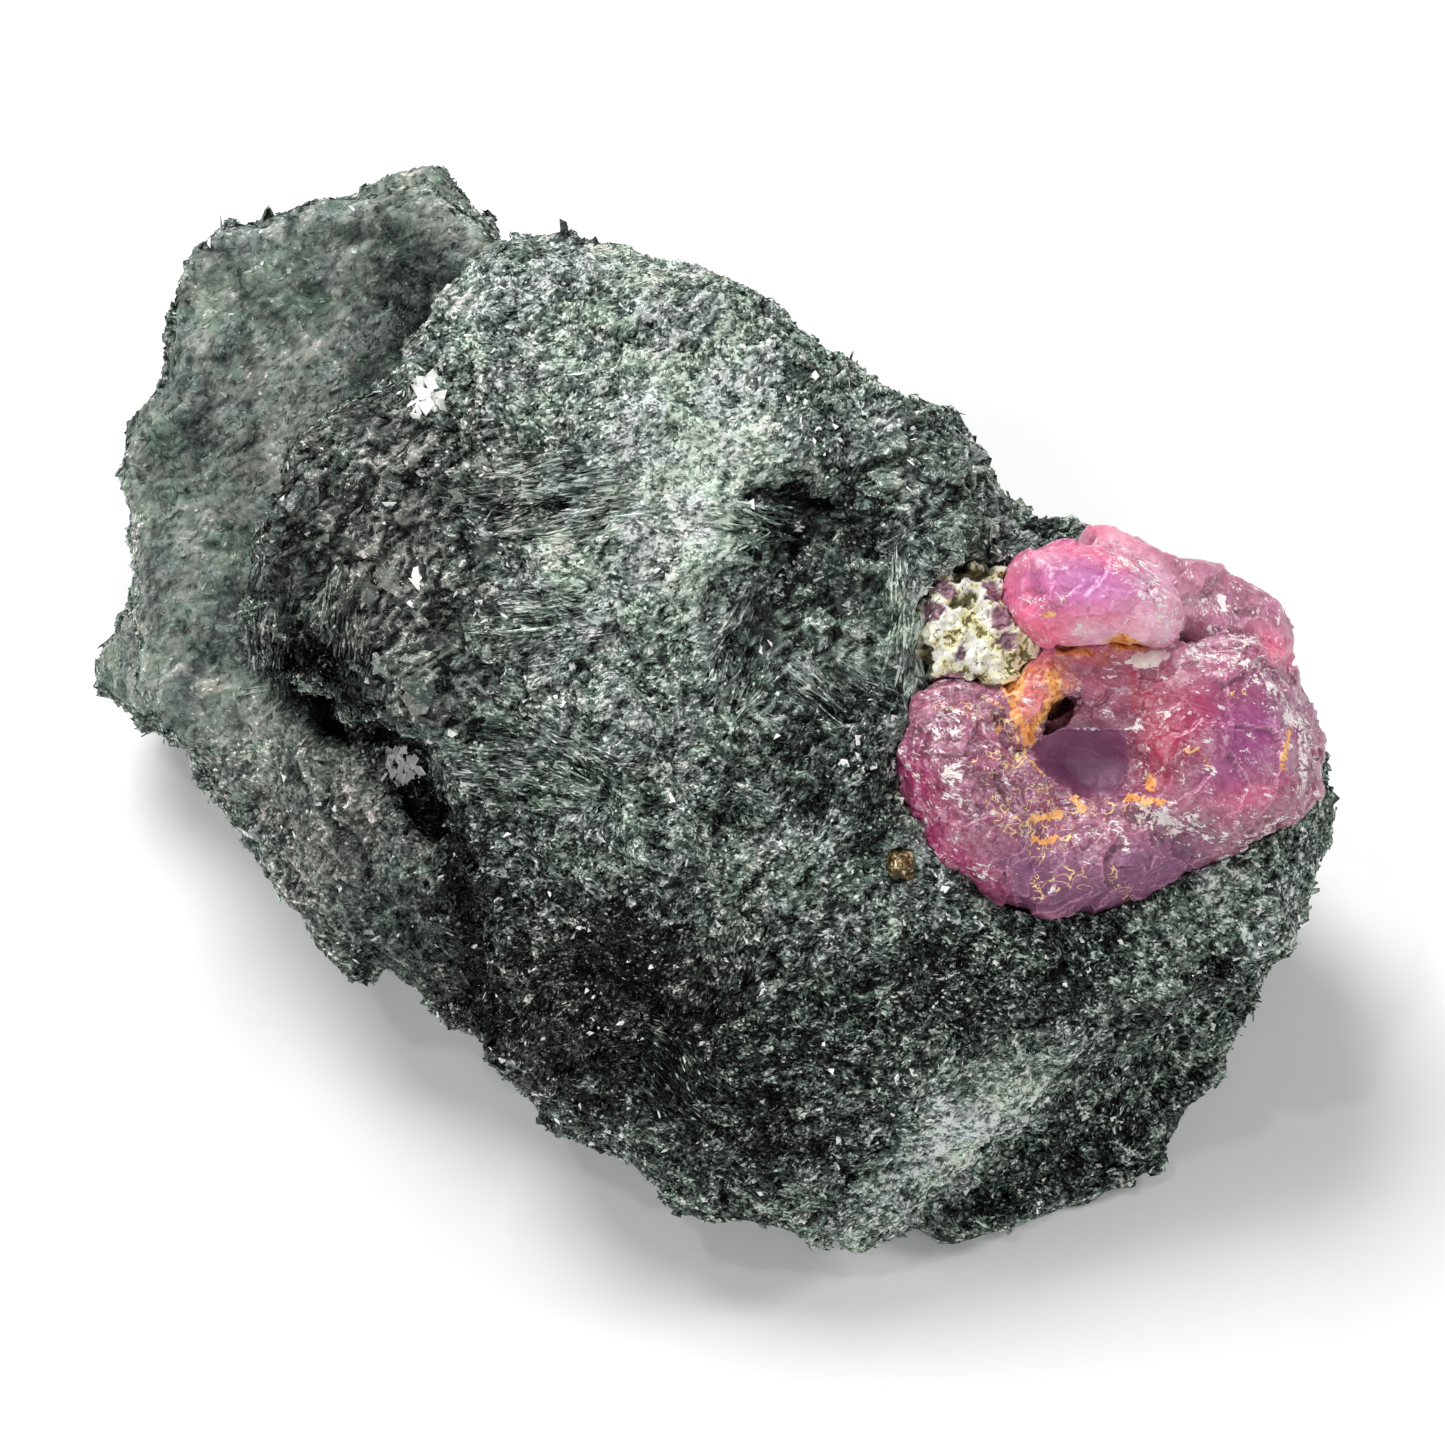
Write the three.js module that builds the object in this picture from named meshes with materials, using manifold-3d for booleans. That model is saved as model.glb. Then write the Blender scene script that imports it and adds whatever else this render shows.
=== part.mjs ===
/*
 * Ruby on matrix: a hand-sized chunk of dark amphibole rock with a rounded ruby crystal cluster
 * seated in one end of its show face. The rock is one solid, with a tall front block, a lower rear
 * block behind a cliff, a sloping flank, an undercut shelf and a flat broken base that it rests on.
 * The ruby cluster and its pale mica stand in a pocket of the rock, each as its own solid.
 *
 * Shapes are drawn in the frame of the show face: u to its right, v up it and w out of it, in
 * millimetres. The show face leans back from upright, so that the rock rests on its base, z = 0.
 * Each solid is the inside of a field, which is negative in the material and is contoured on a grid.
 */
import * as THREE from "three";
import { mergeVertices } from "three/addons/utils/BufferGeometryUtils.js";
import Module from "manifold-3d";

const wasm = await Module();
wasm.setup();

// ---------------------------------------------------------------- driving dimensions, millimetres

const LEAN = THREE.MathUtils.degToRad(35); // from level to the show face
const BASE_DROP = 28.5; // from the middle of the show face straight down to the base
const SEAM = 0.3; // between two pieces that grew against each other
const ROCK_CELL = 2.6; // grid of the rock
const ROCK_CREASE = 0.8; // rounding where two chunks of the rock meet
const ROCK_SHOULDER = -14; // w below which the rock's sides draw in
const ROCK_DRAW_IN = 0.12; // how fast they draw in
const CRYSTAL_CELL = 1.25; // grid of the ruby and the mica
const CRYSTAL_CREASE = 1.2; // rounding where two lumps of a crystal meet
const CRYSTAL_EDGE = 0.5; // rounding of a growth face's edge
const CRYSTAL_SHOULDER = 1.6; // rounding between a crystal's outline and its skin
const CRYSTAL_WAIST = -2; // w below which a crystal's sides draw in
const CRYSTAL_DRAW_IN = 0.3; // how fast they draw in
const POCKET_SHELF = -2.6; // w above which the rock leaves each crystal's outline open

// ---------------------------------------------------------------- the rock's outlines, (u, v)

// The front block: the cliff's edge, the crease, the lower ridge, the end and the top.
const FRONT_OUTLINE = [
  [-12, 27], [-14.5, 26], [-16.5, 23.5], [-17.5, 21.5], [-20, 19], [-22.5, 17.5], [-24, 15.5],
  [-25, 12.5], [-26, 10], [-26.5, 7], [-26, 3.5], [-24, 1.5], [-21, -0.5], [-18.5, -1.5],
  [-17, -4.5], [-15.5, -8], [-14.5, -11], [-14.5, -16], [-13, -19], [-9.5, -23], [-6.5, -25],
  [-4, -26.6], [2, -27.8], [5, -29.3], [8, -30.8], [14, -25.5], [19.5, -21.5], [24.5, -19],
  [29, -14.5], [33, -10.5], [35, -7.5], [36, -3.5], [34.5, -1.5], [30.5, 3], [25, 7.5], [21, 11],
  [18.5, 12.5], [15.5, 14], [12.5, 17], [9.5, 19], [7, 21], [4, 23.5], [1.5, 25.5], [-5, 27], [-10.5, 27.4],
];
// The rear block: its free edge at the left and the top, closed behind the front block.
const REAR_OUTLINE = [
  [-12.5, 29], [-14.5, 31.5], [-16.5, 33], [-21.5, 33.5], [-24, 32], [-28, 31], [-30, 31],
  [-31.5, 29], [-33, 26], [-34.5, 23], [-36.5, 20.5], [-37, 17.5], [-37, 10], [-37.5, 8],
  [-39.2, 6.5], [-40, 4], [-39.5, 2], [-38.5, 0.5], [-36.5, -1], [-33, -3], [-28, -8], [-14, -14],
  [4, -16], [10, 0], [2, 16], [-6, 25],
];
// The flank below the crease.
const FLANK_OUTLINE = [
  [-36, 6], [-36.5, -1], [-34, -1.2], [-33, -3], [-30.5, -6.5], [-26, -11], [-22, -14.5],
  [-18, -17.5], [-15, -18.2], [-8, -21], [2, -16], [-4, 2], [-22, 10],
];
// The shelf that stands out below the lower ridge.
const SHELF_OUTLINE = [
  [11, -30.5], [12.5, -32.2], [15, -31.2], [18.2, -29.8], [22.4, -28.6], [25.6, -27.2],
  [27.8, -25.4], [29.6, -22.8], [31.3, -22], [31.8, -19.8], [33.1, -17.8], [33.6, -14.7],
  [35.2, -10.6], [36.6, -7], [36.8, -3.5], [34, 0], [24, 4], [8, -4], [-2, -20], [4, -28],
];
// The body behind them, which ends in the back of the rock.
const BODY_OUTLINE = [
  [-35, 1], [-36, 17], [-30, 28.5], [-17, 31], [-6, 24], [8, 17.5], [22, 8.5], [32, 0], [33, -8],
  [30, -18], [22, -25.5], [10, -29], [-4, -25], [-14, -17], [-26, -9],
];

// Each face is a flat break: a point on it, and the way it looks, in (u, v, w).
const CHUNKS = {
  front: {
    outline: FRONT_OUTLINE,
    back: -26,
    edge: 1,
    faces: [
      { at: [0, 2, 0], looks: [0.02, 0.02, 1] },
      { at: [-20, 8, -1], looks: [-0.22, 0.05, 1] },
      { at: [-17, 21, -3], looks: [-0.35, 0.4, 1] },
      { at: [-2, 20, -1.6], looks: [0.02, 0.4, 1] },
      { at: [4, 26, -7], looks: [0.2, 1.25, 1] },
      { at: [14, 11, -1.6], looks: [0.3, 0.5, 1] },
      { at: [-12, -9, -1.8], looks: [-0.3, -0.2, 1] },
      { at: [2, -20, -2.6], looks: [-0.06, -0.26, 1] },
      { at: [-8, -22, -6.5], looks: [-0.5, -0.8, 1] },
      { at: [22, -14, -2.6], looks: [0.22, -0.3, 1] },
      { at: [33.5, -6, -5], looks: [1.2, -0.3, 1] },
      { at: [20, 11, -3.6], looks: [0.85, 0.85, 1] },
      { at: [8, -28, -6.5], looks: [0.25, -0.8, 1] },
    ],
  },
  rear: {
    outline: REAR_OUTLINE,
    back: -40,
    edge: 2,
    faces: [
      { at: [-26, 15, -19], looks: [-0.17, -0.05, 1] },
      { at: [-18, 30, -15.5], looks: [-0.1, 0.3, 1] },
      { at: [-36, 6, -22], looks: [-0.6, -0.1, 1] },
      { at: [-31, 28, -20.5], looks: [-0.7, 0.6, 1] },
    ],
  },
  flank: {
    outline: FLANK_OUTLINE,
    back: -36,
    edge: 1.6,
    faces: [
      { at: [-20, -4, -6], looks: [-0.52, -0.34, 1] },
      { at: [-28, -4, -13.5], looks: [-0.95, -0.2, 1] },
      { at: [-18, -15.5, -11], looks: [-0.5, -0.95, 1] },
    ],
  },
  shelf: {
    outline: SHELF_OUTLINE,
    back: -36,
    edge: 1.5,
    faces: [
      { at: [24, -22, -13.5], looks: [0.3, -0.05, 1] },
      { at: [34, -8, -11.5], looks: [0.9, -0.1, 1] },
      { at: [16, -29, -12.5], looks: [-0.1, -0.5, 1] },
    ],
  },
  body: {
    outline: BODY_OUTLINE,
    back: -41,
    edge: 2.5,
    faces: [
      { at: [0, 0, -12], looks: [0, 0, 1] },
      { at: [-22, 20, -38], looks: [-0.45, 0.6, -1] },
      { at: [16, 10, -33], looks: [0.5, 0.7, -1] },
      { at: [30, -6, -27], looks: [1, 0.15, -0.6] },
      { at: [-34, 6, -34], looks: [-1, -0.1, -0.7] },
    ],
  },
};

// Hollows broken out of the rock: a middle, half sizes and a turn in the face's plane, in degrees.
const HOLLOWS = [
  { name: "scoop", at: [24.5, -23.4, -9.5], half: [9.5, 3, 5.5], turn: 40, edge: 1.2 },
  { name: "scoop_end", at: [29.3, -17.2, -11], half: [3.2, 2, 5], turn: 55, edge: 0.8 },
  { name: "crease_pit", at: [-23.3, 1.2, -4], half: [1.6, 1.9, 5], turn: 20, edge: 0.5 },
  { name: "crease_slot", at: [-17.2, -3.2, -5], half: [0.9, 2.6, 4], turn: 18, edge: 0.6 },
  { name: "dark_basin", at: [4.5, 6, 2.4], half: [6, 7.5, 3.6], turn: -10, edge: 1.4 },
  { name: "face_pit", at: [4.6, 11.4, 0.2], half: [1.9, 1.3, 2.4], turn: -20, edge: 0.6 },
  { name: "side_pit", at: [10.2, 14.3, -2.4], half: [1.5, 1.2, 2.2], turn: -40, edge: 0.6 },
  { name: "mica_notch", at: [15.2, 11.2, -2.2], half: [3.4, 1.8, 2.6], turn: -12, edge: 0.8 },
  { name: "cluster_bowl", at: [22, -1, 6], half: [20, 17, 8.5], turn: 0, edge: 1.5 },
  { name: "underside", at: [-19, -17.2, -14.5], half: [3.4, 2, 4.5], turn: -30, edge: 1.2 },
  { name: "back_chip", at: [2, 24, -28], half: [9, 5, 5], turn: -35, edge: 1.5 },
  { name: "end_chip", at: [37, -2, -24], half: [5, 9, 6], turn: 10, edge: 1.5 },
];

// Bumps of the rock's broken skin, and its small flat breaks.
const ROCK_LUMPS = [
  { size: 10, height: 0.8, seed: 3 },
  { size: 4.4, height: 0.32, seed: 11 },
];
const ROCK_BREAKS = { size: 7, tilt: 0.3, step: 0.07, seed: 40 };

// ---------------------------------------------------------------- the cluster's crystals

// Each crystal is rounded lumps that grew together, inside an outline (u, v), with flat growth
// faces and hollows. A lump has a middle, half sizes and a turn in the face's plane, in degrees.
const RUBY_MAIN = {
  outline: [
    [9.9, -2.5], [9.9, -0.8], [10.5, 1.4], [12, 2.6], [14.3, 2.6], [15.8, 3.2], [18, 4.2],
    [21.5, 4.2], [24.4, 4.2], [26.2, 5], [28.4, 5.2], [30.6, 4.6], [33, 3.2], [34.3, 1.2],
    [34.7, -1.5], [34, -4.2], [32.5, -5.7], [29.5, -7.2], [26, -9], [23, -10.3], [20.5, -11.2],
    [18.5, -11], [15, -9.6], [13, -8.2], [11.5, -6.5],
  ],
  lumps: [
    { at: [13.2, -3.6, -2.2], half: [4.8, 7, 3.8], turn: 8 },
    { at: [19.5, -8.4, -2.8], half: [8.6, 4.4, 3.6], turn: -4 },
    { at: [27.8, -1.4, -4.2], half: [7.6, 7, 5.8], turn: 20 },
    { at: [21.6, 1.8, -2.8], half: [4.8, 4.4, 2.6], turn: 0 },
    { at: [30, 3.6, -5.4], half: [5, 3.4, 3.8], turn: -25 },
    { at: [17.4, 1.4, -2.2], half: [1.7, 3, 2.6], turn: -20 },
    { at: [20.5, -2.5, -5.4], half: [8, 8, 4], turn: 0 },
  ],
  faces: [
    { at: [28, -1, 1.2], looks: [0.1, -0.04, 1] },
    { at: [31.8, -1, -0.9], looks: [1, 0.22, 0.6] },
    { at: [30, -6, -0.7], looks: [0.45, -1, 0.8] },
    { at: [11.6, -4, 0.4], looks: [-0.9, -0.25, 0.8] },
  ],
  hollows: [
    { at: [20.7, -2.6, 1.2], half: [3.8, 2.2, 3.7], turn: -8, edge: 0.5 },
    { at: [18.9, 0.7, 0], half: [1.4, 0.6, 4], turn: 45, edge: 0.3 },
    { at: [15.7, -0.4, 1], half: [0.8, 2.3, 2.2], turn: 30, edge: 0.4 },
  ],
};
const RUBY_UPPER = {
  outline: [
    [15.8, 8.7], [17, 9.8], [19.2, 10.1], [21.6, 9.8], [24.2, 8.6], [25.7, 7.1], [25.8, 5],
    [24.6, 4.2], [21.5, 4.4], [18.2, 4], [16.6, 5], [15.6, 7],
  ],
  lumps: [
    { at: [20.2, 7.2, -1.8], half: [5.6, 3.4, 4.6], turn: -10 },
    { at: [23.8, 6.2, -2.2], half: [3.4, 2.8, 4], turn: -30 },
  ],
  faces: [
    { at: [20, 8.6, 1.9], looks: [0, 0.6, 1] },
    { at: [23, 5.6, 1.6], looks: [0.4, -0.35, 1] },
    { at: [16.8, 7, 0.8], looks: [-1, 0.1, 0.7] },
  ],
  hollows: [],
};
const RUBY_REAR = {
  outline: [
    [20.2, 12.2], [22.6, 12.1], [24.4, 11.2], [25.4, 10.2], [27.2, 9.9], [28.9, 9.4], [31, 8.4],
    [32.6, 7], [33.7, 5.6], [34.2, 3.6], [32, 1.5], [27, 3], [23, 6], [19.6, 9.6],
  ],
  lumps: [
    { at: [22.8, 9.4, -6.4], half: [4.8, 3, 4.6], turn: -32 },
    { at: [28.6, 6.2, -7.4], half: [6, 4, 4.8], turn: -36 },
  ],
  faces: [{ at: [26, 9.4, -4.6], looks: [0.3, 1, 0.9] }],
  hollows: [],
};
const MICA_PATCH = {
  outline: [
    [11.2, 6.8], [12.4, 8.6], [14, 9.4], [16.2, 9.2], [17.4, 7], [18.4, 4.4], [18, 2],
    [16, 0.6], [12, 1.4], [10.8, 2.6], [10.6, 4.5],
  ],
  lumps: [
    { at: [13.2, 6, -3.2], half: [4.4, 4.6, 2.6], turn: 0 },
    { at: [15.4, 3.6, -3.2], half: [4, 3.8, 2.8], turn: 30 },
  ],
  faces: [],
  hollows: [{ at: [13.7, 6.5, -0.4], half: [0.7, 1, 1.1], turn: -10, edge: 0.3 }],
};
const BROWN_GRAIN = { at: [10, -8, -0.4], half: [1.15, 1.3, 1.3], turn: 25 };

// Bumps of the crystals' skin.
const CRYSTAL_SKIN = [
  { size: 3.2, height: 0.3, seed: 5 },
  { size: 1.7, height: 0.16, seed: 8 },
];

// ---------------------------------------------------------------- frames

// From the frame of the show face to the rock's own frame, before it is centred on its origin.
const FACE_TO_ROCK = new THREE.Matrix4().makeRotationX(LEAN).setPosition(0, 0, BASE_DROP);
const ROCK_TO_FACE = FACE_TO_ROCK.clone().invert();

// ---------------------------------------------------------------- fields

function smoothMax(a, b, blend) {
  const h = Math.max(blend - Math.abs(a - b), 0) / blend;
  return Math.max(a, b) + (h * h * blend) / 4;
}

const smoothMin = (a, b, blend) => -smoothMax(-a, -b, blend);

// Distance from (u, v) to a closed outline, negative inside.
function outlineField(outline, u, v) {
  let nearest = Infinity;
  let inside = false;
  outline.forEach(([u1, v1], i) => {
    const [u0, v0] = outline[(i + outline.length - 1) % outline.length];
    const along = [u1 - u0, v1 - v0];
    const reach = (u - u0) * along[0] + (v - v0) * along[1];
    const share = THREE.MathUtils.clamp(reach / (along[0] ** 2 + along[1] ** 2), 0, 1);
    nearest = Math.min(nearest, Math.hypot(u - u0 - share * along[0], v - v0 - share * along[1]));
    if (v0 > v !== v1 > v && u < u0 + ((v - v0) / along[1]) * along[0]) inside = !inside;
  });
  return inside ? -nearest : nearest;
}

function faceField({ at, looks }, u, v, w) {
  const out = (u - at[0]) * looks[0] + (v - at[1]) * looks[1] + (w - at[2]) * looks[2];
  return out / Math.hypot(...looks);
}

// A solid of an outline and flat breaks, whose sides draw in towards its back.
function chunkField({ outline, back, edge, faces }, u, v, w) {
  let field = outlineField(outline, u, v) + ROCK_DRAW_IN * Math.max(0, ROCK_SHOULDER - w);
  field = smoothMax(field, back - w, edge * 2);
  for (const face of faces) field = smoothMax(field, faceField(face, u, v, w), edge);
  return field;
}

// About the distance to an ellipsoid, negative inside.
function lumpField({ at, half, turn }, u, v, w) {
  const angle = THREE.MathUtils.degToRad(turn);
  const du = u - at[0];
  const dv = v - at[1];
  const turned = [
    du * Math.cos(angle) + dv * Math.sin(angle),
    dv * Math.cos(angle) - du * Math.sin(angle),
    w - at[2],
  ];
  const reach = Math.hypot(...turned.map((value, axis) => value / half[axis]));
  const slope = Math.hypot(...turned.map((value, axis) => value / half[axis] ** 2));
  return slope < 1e-9 ? -Math.min(...half) : (reach * (reach - 1)) / slope;
}

// A number from 0 to 1 for each whole-number place.
function latticeValue(i, j, k, seed) {
  let h = Math.imul(i, 374761393) + Math.imul(j, 668265263) + Math.imul(k, 1274126177) + seed * 9176;
  h = Math.imul(h ^ (h >>> 13), 1274126177);
  h = Math.imul(h ^ (h >>> 15), 2246822519);
  return ((h ^ (h >>> 16)) >>> 0) / 4294967295;
}

// Smooth noise from -1 to 1, with bumps about one unit across.
function smoothNoise(x, y, z, seed) {
  const cell = [x, y, z].map(Math.floor);
  const part = [x, y, z].map((value, axis) => value - cell[axis]);
  const ease = part.map((t) => t * t * t * (t * (t * 6 - 15) + 10));
  let sum = 0;
  for (let corner = 0; corner < 8; corner++) {
    const step = [corner & 1, (corner >> 1) & 1, corner >> 2];
    const weight = step.reduce((product, s, axis) => product * (s ? ease[axis] : 1 - ease[axis]), 1);
    sum += weight * latticeValue(cell[0] + step[0], cell[1] + step[1], cell[2] + step[2], seed);
  }
  return sum * 2 - 1;
}

const lumpyField = (lumps, u, v, w) =>
  lumps.reduce((sum, { size, height, seed }) => {
    return sum + height * smoothNoise(u / size, v / size, w / size, seed);
  }, 0);

// Small flat breaks, about a size across, each with a tilt and a height of its own.
function breaksField({ size, tilt, step, seed }, u, v, w) {
  const CRISPNESS = 14; // of the edges between two breaks
  const place = [u / size, v / size, w / size];
  const cell = place.map(Math.floor);
  let sum = 0;
  let total = 0;
  for (let n = 0; n < 27; n++) {
    const near = [n % 3, Math.floor(n / 3) % 3, Math.floor(n / 9)].map((s, axis) => cell[axis] + s - 1);
    const draw = (k) => latticeValue(...near, seed + k) - 0.5;
    const away = near.map((corner, axis) => place[axis] - corner - 0.5 - draw(axis));
    const height = step * draw(3) + tilt * away.reduce((s, d, axis) => s + d * draw(4 + axis), 0);
    const weight = Math.exp(-CRISPNESS * Math.hypot(...away));
    sum += weight * height;
    total += weight;
  }
  return (size * sum) / total;
}

function rockField(u, v, w) {
  const { front, rear, flank, shelf, body } = CHUNKS;
  let field = chunkField(front, u, v, w);
  for (const chunk of [rear, flank, shelf, body]) {
    field = smoothMin(field, chunkField(chunk, u, v, w), ROCK_CREASE);
  }
  for (const hollow of HOLLOWS) {
    field = smoothMax(field, -lumpField(hollow, u, v, w), hollow.edge);
  }
  return field + lumpyField(ROCK_LUMPS, u, v, w) + breaksField(ROCK_BREAKS, u, v, w);
}

// Lumps grown together, trimmed by an outline and growth faces, with an uneven skin.
function crystalField({ outline, lumps, faces, hollows }, u, v, w) {
  const skins = lumps.map((lump) => lumpField(lump, u, v, w));
  const side = outlineField(outline, u, v) + CRYSTAL_DRAW_IN * Math.max(0, CRYSTAL_WAIST - w);
  let field = skins.reduce((a, b) => smoothMin(a, b, CRYSTAL_CREASE));
  field = smoothMax(field, side, CRYSTAL_SHOULDER);
  for (const face of faces) field = smoothMax(field, faceField(face, u, v, w), CRYSTAL_EDGE);
  for (const hollow of hollows) field = smoothMax(field, -lumpField(hollow, u, v, w), hollow.edge);
  return field + lumpyField(CRYSTAL_SKIN, u, v, w);
}

// ---------------------------------------------------------------- contouring a field

// The middle of a cell's share of the surface, moved until it lies on the planes at its crossings,
// which keeps ridges and corners sharp.
function cellPoint(crossings, low, high) {
  const point = new THREE.Vector3();
  crossings.forEach(({ at }) => point.addScaledVector(at, 1 / crossings.length));
  const ROUNDS = 14; // enough to settle in a corner
  for (let round = 0; round < ROUNDS; round++) {
    const move = new THREE.Vector3();
    for (const { at, normal } of crossings) {
      const off = normal.dot(at.clone().sub(point));
      move.addScaledVector(normal, off / crossings.length);
    }
    point.add(move);
  }
  return point.clamp(low, high);
}

// Fills the places where two parts of the material would meet only along an edge.
function fillTightPlaces(values, count, index) {
  const SKIN = -0.05; // just inside the material
  const steps = [[1, 0, 0], [0, 1, 0], [0, 0, 1]];
  let filled = true;
  while (filled) {
    filled = false;
    for (let k = 0; k < count[2] - 1; k++) {
      for (let j = 0; j < count[1] - 1; j++) {
        for (let i = 0; i < count[0] - 1; i++) {
          for (let axis = 0; axis < 3; axis++) {
            const [p, q] = [steps[(axis + 1) % 3], steps[(axis + 2) % 3]];
            const ring = [
              index(i, j, k),
              index(i + p[0], j + p[1], k + p[2]),
              index(i + p[0] + q[0], j + p[1] + q[1], k + p[2] + q[2]),
              index(i + q[0], j + q[1], k + q[2]),
            ];
            const [a, b, c, d] = ring.map((n) => values[n] < 0);
            if (a !== c || b !== d || a === b) continue;
            for (const n of ring) values[n] = Math.min(values[n], SKIN);
            filled = true;
          }
        }
      }
    }
  }
}

// The closed surface where a field over (x, y, z) is zero, on a grid of the given cell.
function contour(field, box, cell) {
  const size = box.getSize(new THREE.Vector3());
  const count = size.toArray().map((length) => Math.ceil(length / cell) + 1);
  const place = (i, j, k) => new THREE.Vector3(i, j, k).multiplyScalar(cell).add(box.min);
  const index = (i, j, k) => (k * count[1] + j) * count[0] + i;
  const values = new Float64Array(count[0] * count[1] * count[2]);
  for (let k = 0; k < count[2]; k++) {
    for (let j = 0; j < count[1]; j++) {
      for (let i = 0; i < count[0]; i++) values[index(i, j, k)] = field(place(i, j, k));
    }
  }
  fillTightPlaces(values, count, index);

  const STEP = 0.05; // for slopes of the field
  const slope = (at) => {
    const parts = [0, 1, 2].map((axis) => {
      const ahead = at.clone().setComponent(axis, at.getComponent(axis) + STEP);
      const behind = at.clone().setComponent(axis, at.getComponent(axis) - STEP);
      return field(ahead) - field(behind);
    });
    return new THREE.Vector3(...parts).normalize();
  };

  // Every grid edge that the surface crosses, and the four cells that meet at it.
  const cells = new Map();
  const quads = [];
  for (let k = 1; k < count[2] - 1; k++) {
    for (let j = 1; j < count[1] - 1; j++) {
      for (let i = 1; i < count[0] - 1; i++) {
        const a = values[index(i, j, k)];
        for (let axis = 0; axis < 3; axis++) {
          const step = [0, 0, 0];
          step[axis] = 1;
          const b = values[index(i + step[0], j + step[1], k + step[2])];
          if (a < 0 === b < 0) continue;
          const at = place(i, j, k);
          at.setComponent(axis, at.getComponent(axis) + (cell * a) / (a - b));
          const crossing = { at, normal: slope(at) };
          const [p, q] = [(axis + 1) % 3, (axis + 2) % 3];
          const corners = [[0, 0], [1, 0], [1, 1], [0, 1]].map(([back, side]) => {
            const corner = [i, j, k];
            corner[p] -= back;
            corner[q] -= side;
            const key = index(...corner);
            if (!cells.has(key)) cells.set(key, { corner, crossings: [] });
            cells.get(key).crossings.push(crossing);
            return key;
          });
          quads.push(a < 0 ? corners : corners.reverse());
        }
      }
    }
  }

  const MARGIN = 0.04; // keeps two cells' points apart, as a share of a cell
  const points = new Map();
  const positions = [];
  for (const [key, { corner, crossings }] of cells) {
    const low = place(...corner).addScalar(MARGIN * cell);
    const high = place(...corner).addScalar((1 - MARGIN) * cell);
    const point = cellPoint(crossings, low, high);
    points.set(key, positions.length / 3);
    positions.push(...point.toArray());
  }

  const vertex = (n) => new THREE.Vector3().fromArray(positions, n * 3);
  const triangles = quads.flatMap((quad) => {
    const [a, b, c, d] = quad.map((key) => points.get(key));
    const shortCut = vertex(a).distanceTo(vertex(c)) <= vertex(b).distanceTo(vertex(d));
    return shortCut ? [a, b, c, a, c, d] : [a, b, d, b, c, d];
  });
  return new THREE.BufferGeometry()
    .setAttribute("position", new THREE.Float32BufferAttribute(positions, 3))
    .setIndex(triangles);
}

// ---------------------------------------------------------------- solids

function solidOf(geometry) {
  const bare = new THREE.BufferGeometry().setAttribute("position", geometry.getAttribute("position"));
  bare.setIndex(geometry.index);
  const merged = mergeVertices(bare, 1e-4);
  const vertProperties = new Float32Array(merged.getAttribute("position").array);
  const triVerts = new Uint32Array(merged.index.array);
  return new wasm.Manifold(new wasm.Mesh({ numProp: 3, vertProperties, triVerts }));
}

function geometryOf(solid) {
  const { vertProperties, triVerts, numProp } = solid.getMesh();
  const positions = new Float32Array((vertProperties.length / numProp) * 3);
  for (let i = 0; i < positions.length / 3; i++) {
    positions.set(vertProperties.subarray(i * numProp, i * numProp + 3), i * 3);
  }
  const geometry = new THREE.BufferGeometry();
  geometry.setAttribute("position", new THREE.BufferAttribute(positions, 3));
  geometry.setIndex(new THREE.BufferAttribute(new Uint32Array(triVerts), 1));
  geometry.computeVertexNormals();
  return geometry;
}

// The largest part of a solid, without the crumbs that a cut may leave.
function mainPart(solid) {
  return solid.decompose().reduce((a, b) => (a.volume() > b.volume() ? a : b));
}

// The solid of a field of the show face's frame, inside a box of that frame.
function solidOfField(field, faceBox, cell) {
  const box = faceBox.clone().applyMatrix4(FACE_TO_ROCK);
  const at = new THREE.Vector3();
  const inRock = (point) => {
    at.copy(point).applyMatrix4(ROCK_TO_FACE);
    return field(at.x, at.y, at.z);
  };
  return mainPart(solidOf(contour(inRock, box, cell)));
}

// ---------------------------------------------------------------- the pieces

const box = (low, high) => new THREE.Box3(new THREE.Vector3(...low), new THREE.Vector3(...high));
const ROCK_BOX = box([-46, -38, -46], [42, 40, 8]);
const CLUSTER_BOX = box([4, -16, -16], [40, 18, 10]);

const solidOfCrystals = (crystals, grow = 0) =>
  solidOfField(
    (u, v, w) => Math.min(...crystals.map((crystal) => crystalField(crystal, u, v, w))) - grow,
    CLUSTER_BOX,
    CRYSTAL_CELL,
  );

function grainSolid(grow = 0) {
  const shape = new THREE.IcosahedronGeometry(1, 1);
  shape.scale(...BROWN_GRAIN.half.map((half) => half + grow));
  shape.rotateZ(THREE.MathUtils.degToRad(BROWN_GRAIN.turn));
  shape.translate(...BROWN_GRAIN.at).applyMatrix4(FACE_TO_ROCK);
  return solidOf(shape);
}

// Opens the rock above a crystal: a prism of its outline with a seam all round.
function openingSolid({ outline }) {
  const CLEAR = 12; // w above every crystal
  const points = outline.map(([u, v]) => new THREE.Vector2(u, v));
  const turning = -Math.sign(THREE.ShapeUtils.area(points));
  const grown = points.map((point, i) => {
    const before = points[(i + points.length - 1) % points.length];
    const after = points[(i + 1) % points.length];
    const along = after.clone().sub(before).normalize();
    return point.clone().add(new THREE.Vector2(-along.y, along.x).multiplyScalar(turning * SEAM));
  });
  const depth = CLEAR - POCKET_SHELF;
  const prism = new THREE.ExtrudeGeometry(new THREE.Shape(grown), { depth, bevelEnabled: false });
  return solidOf(prism.translate(0, 0, POCKET_SHELF).applyMatrix4(FACE_TO_ROCK));
}

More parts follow.
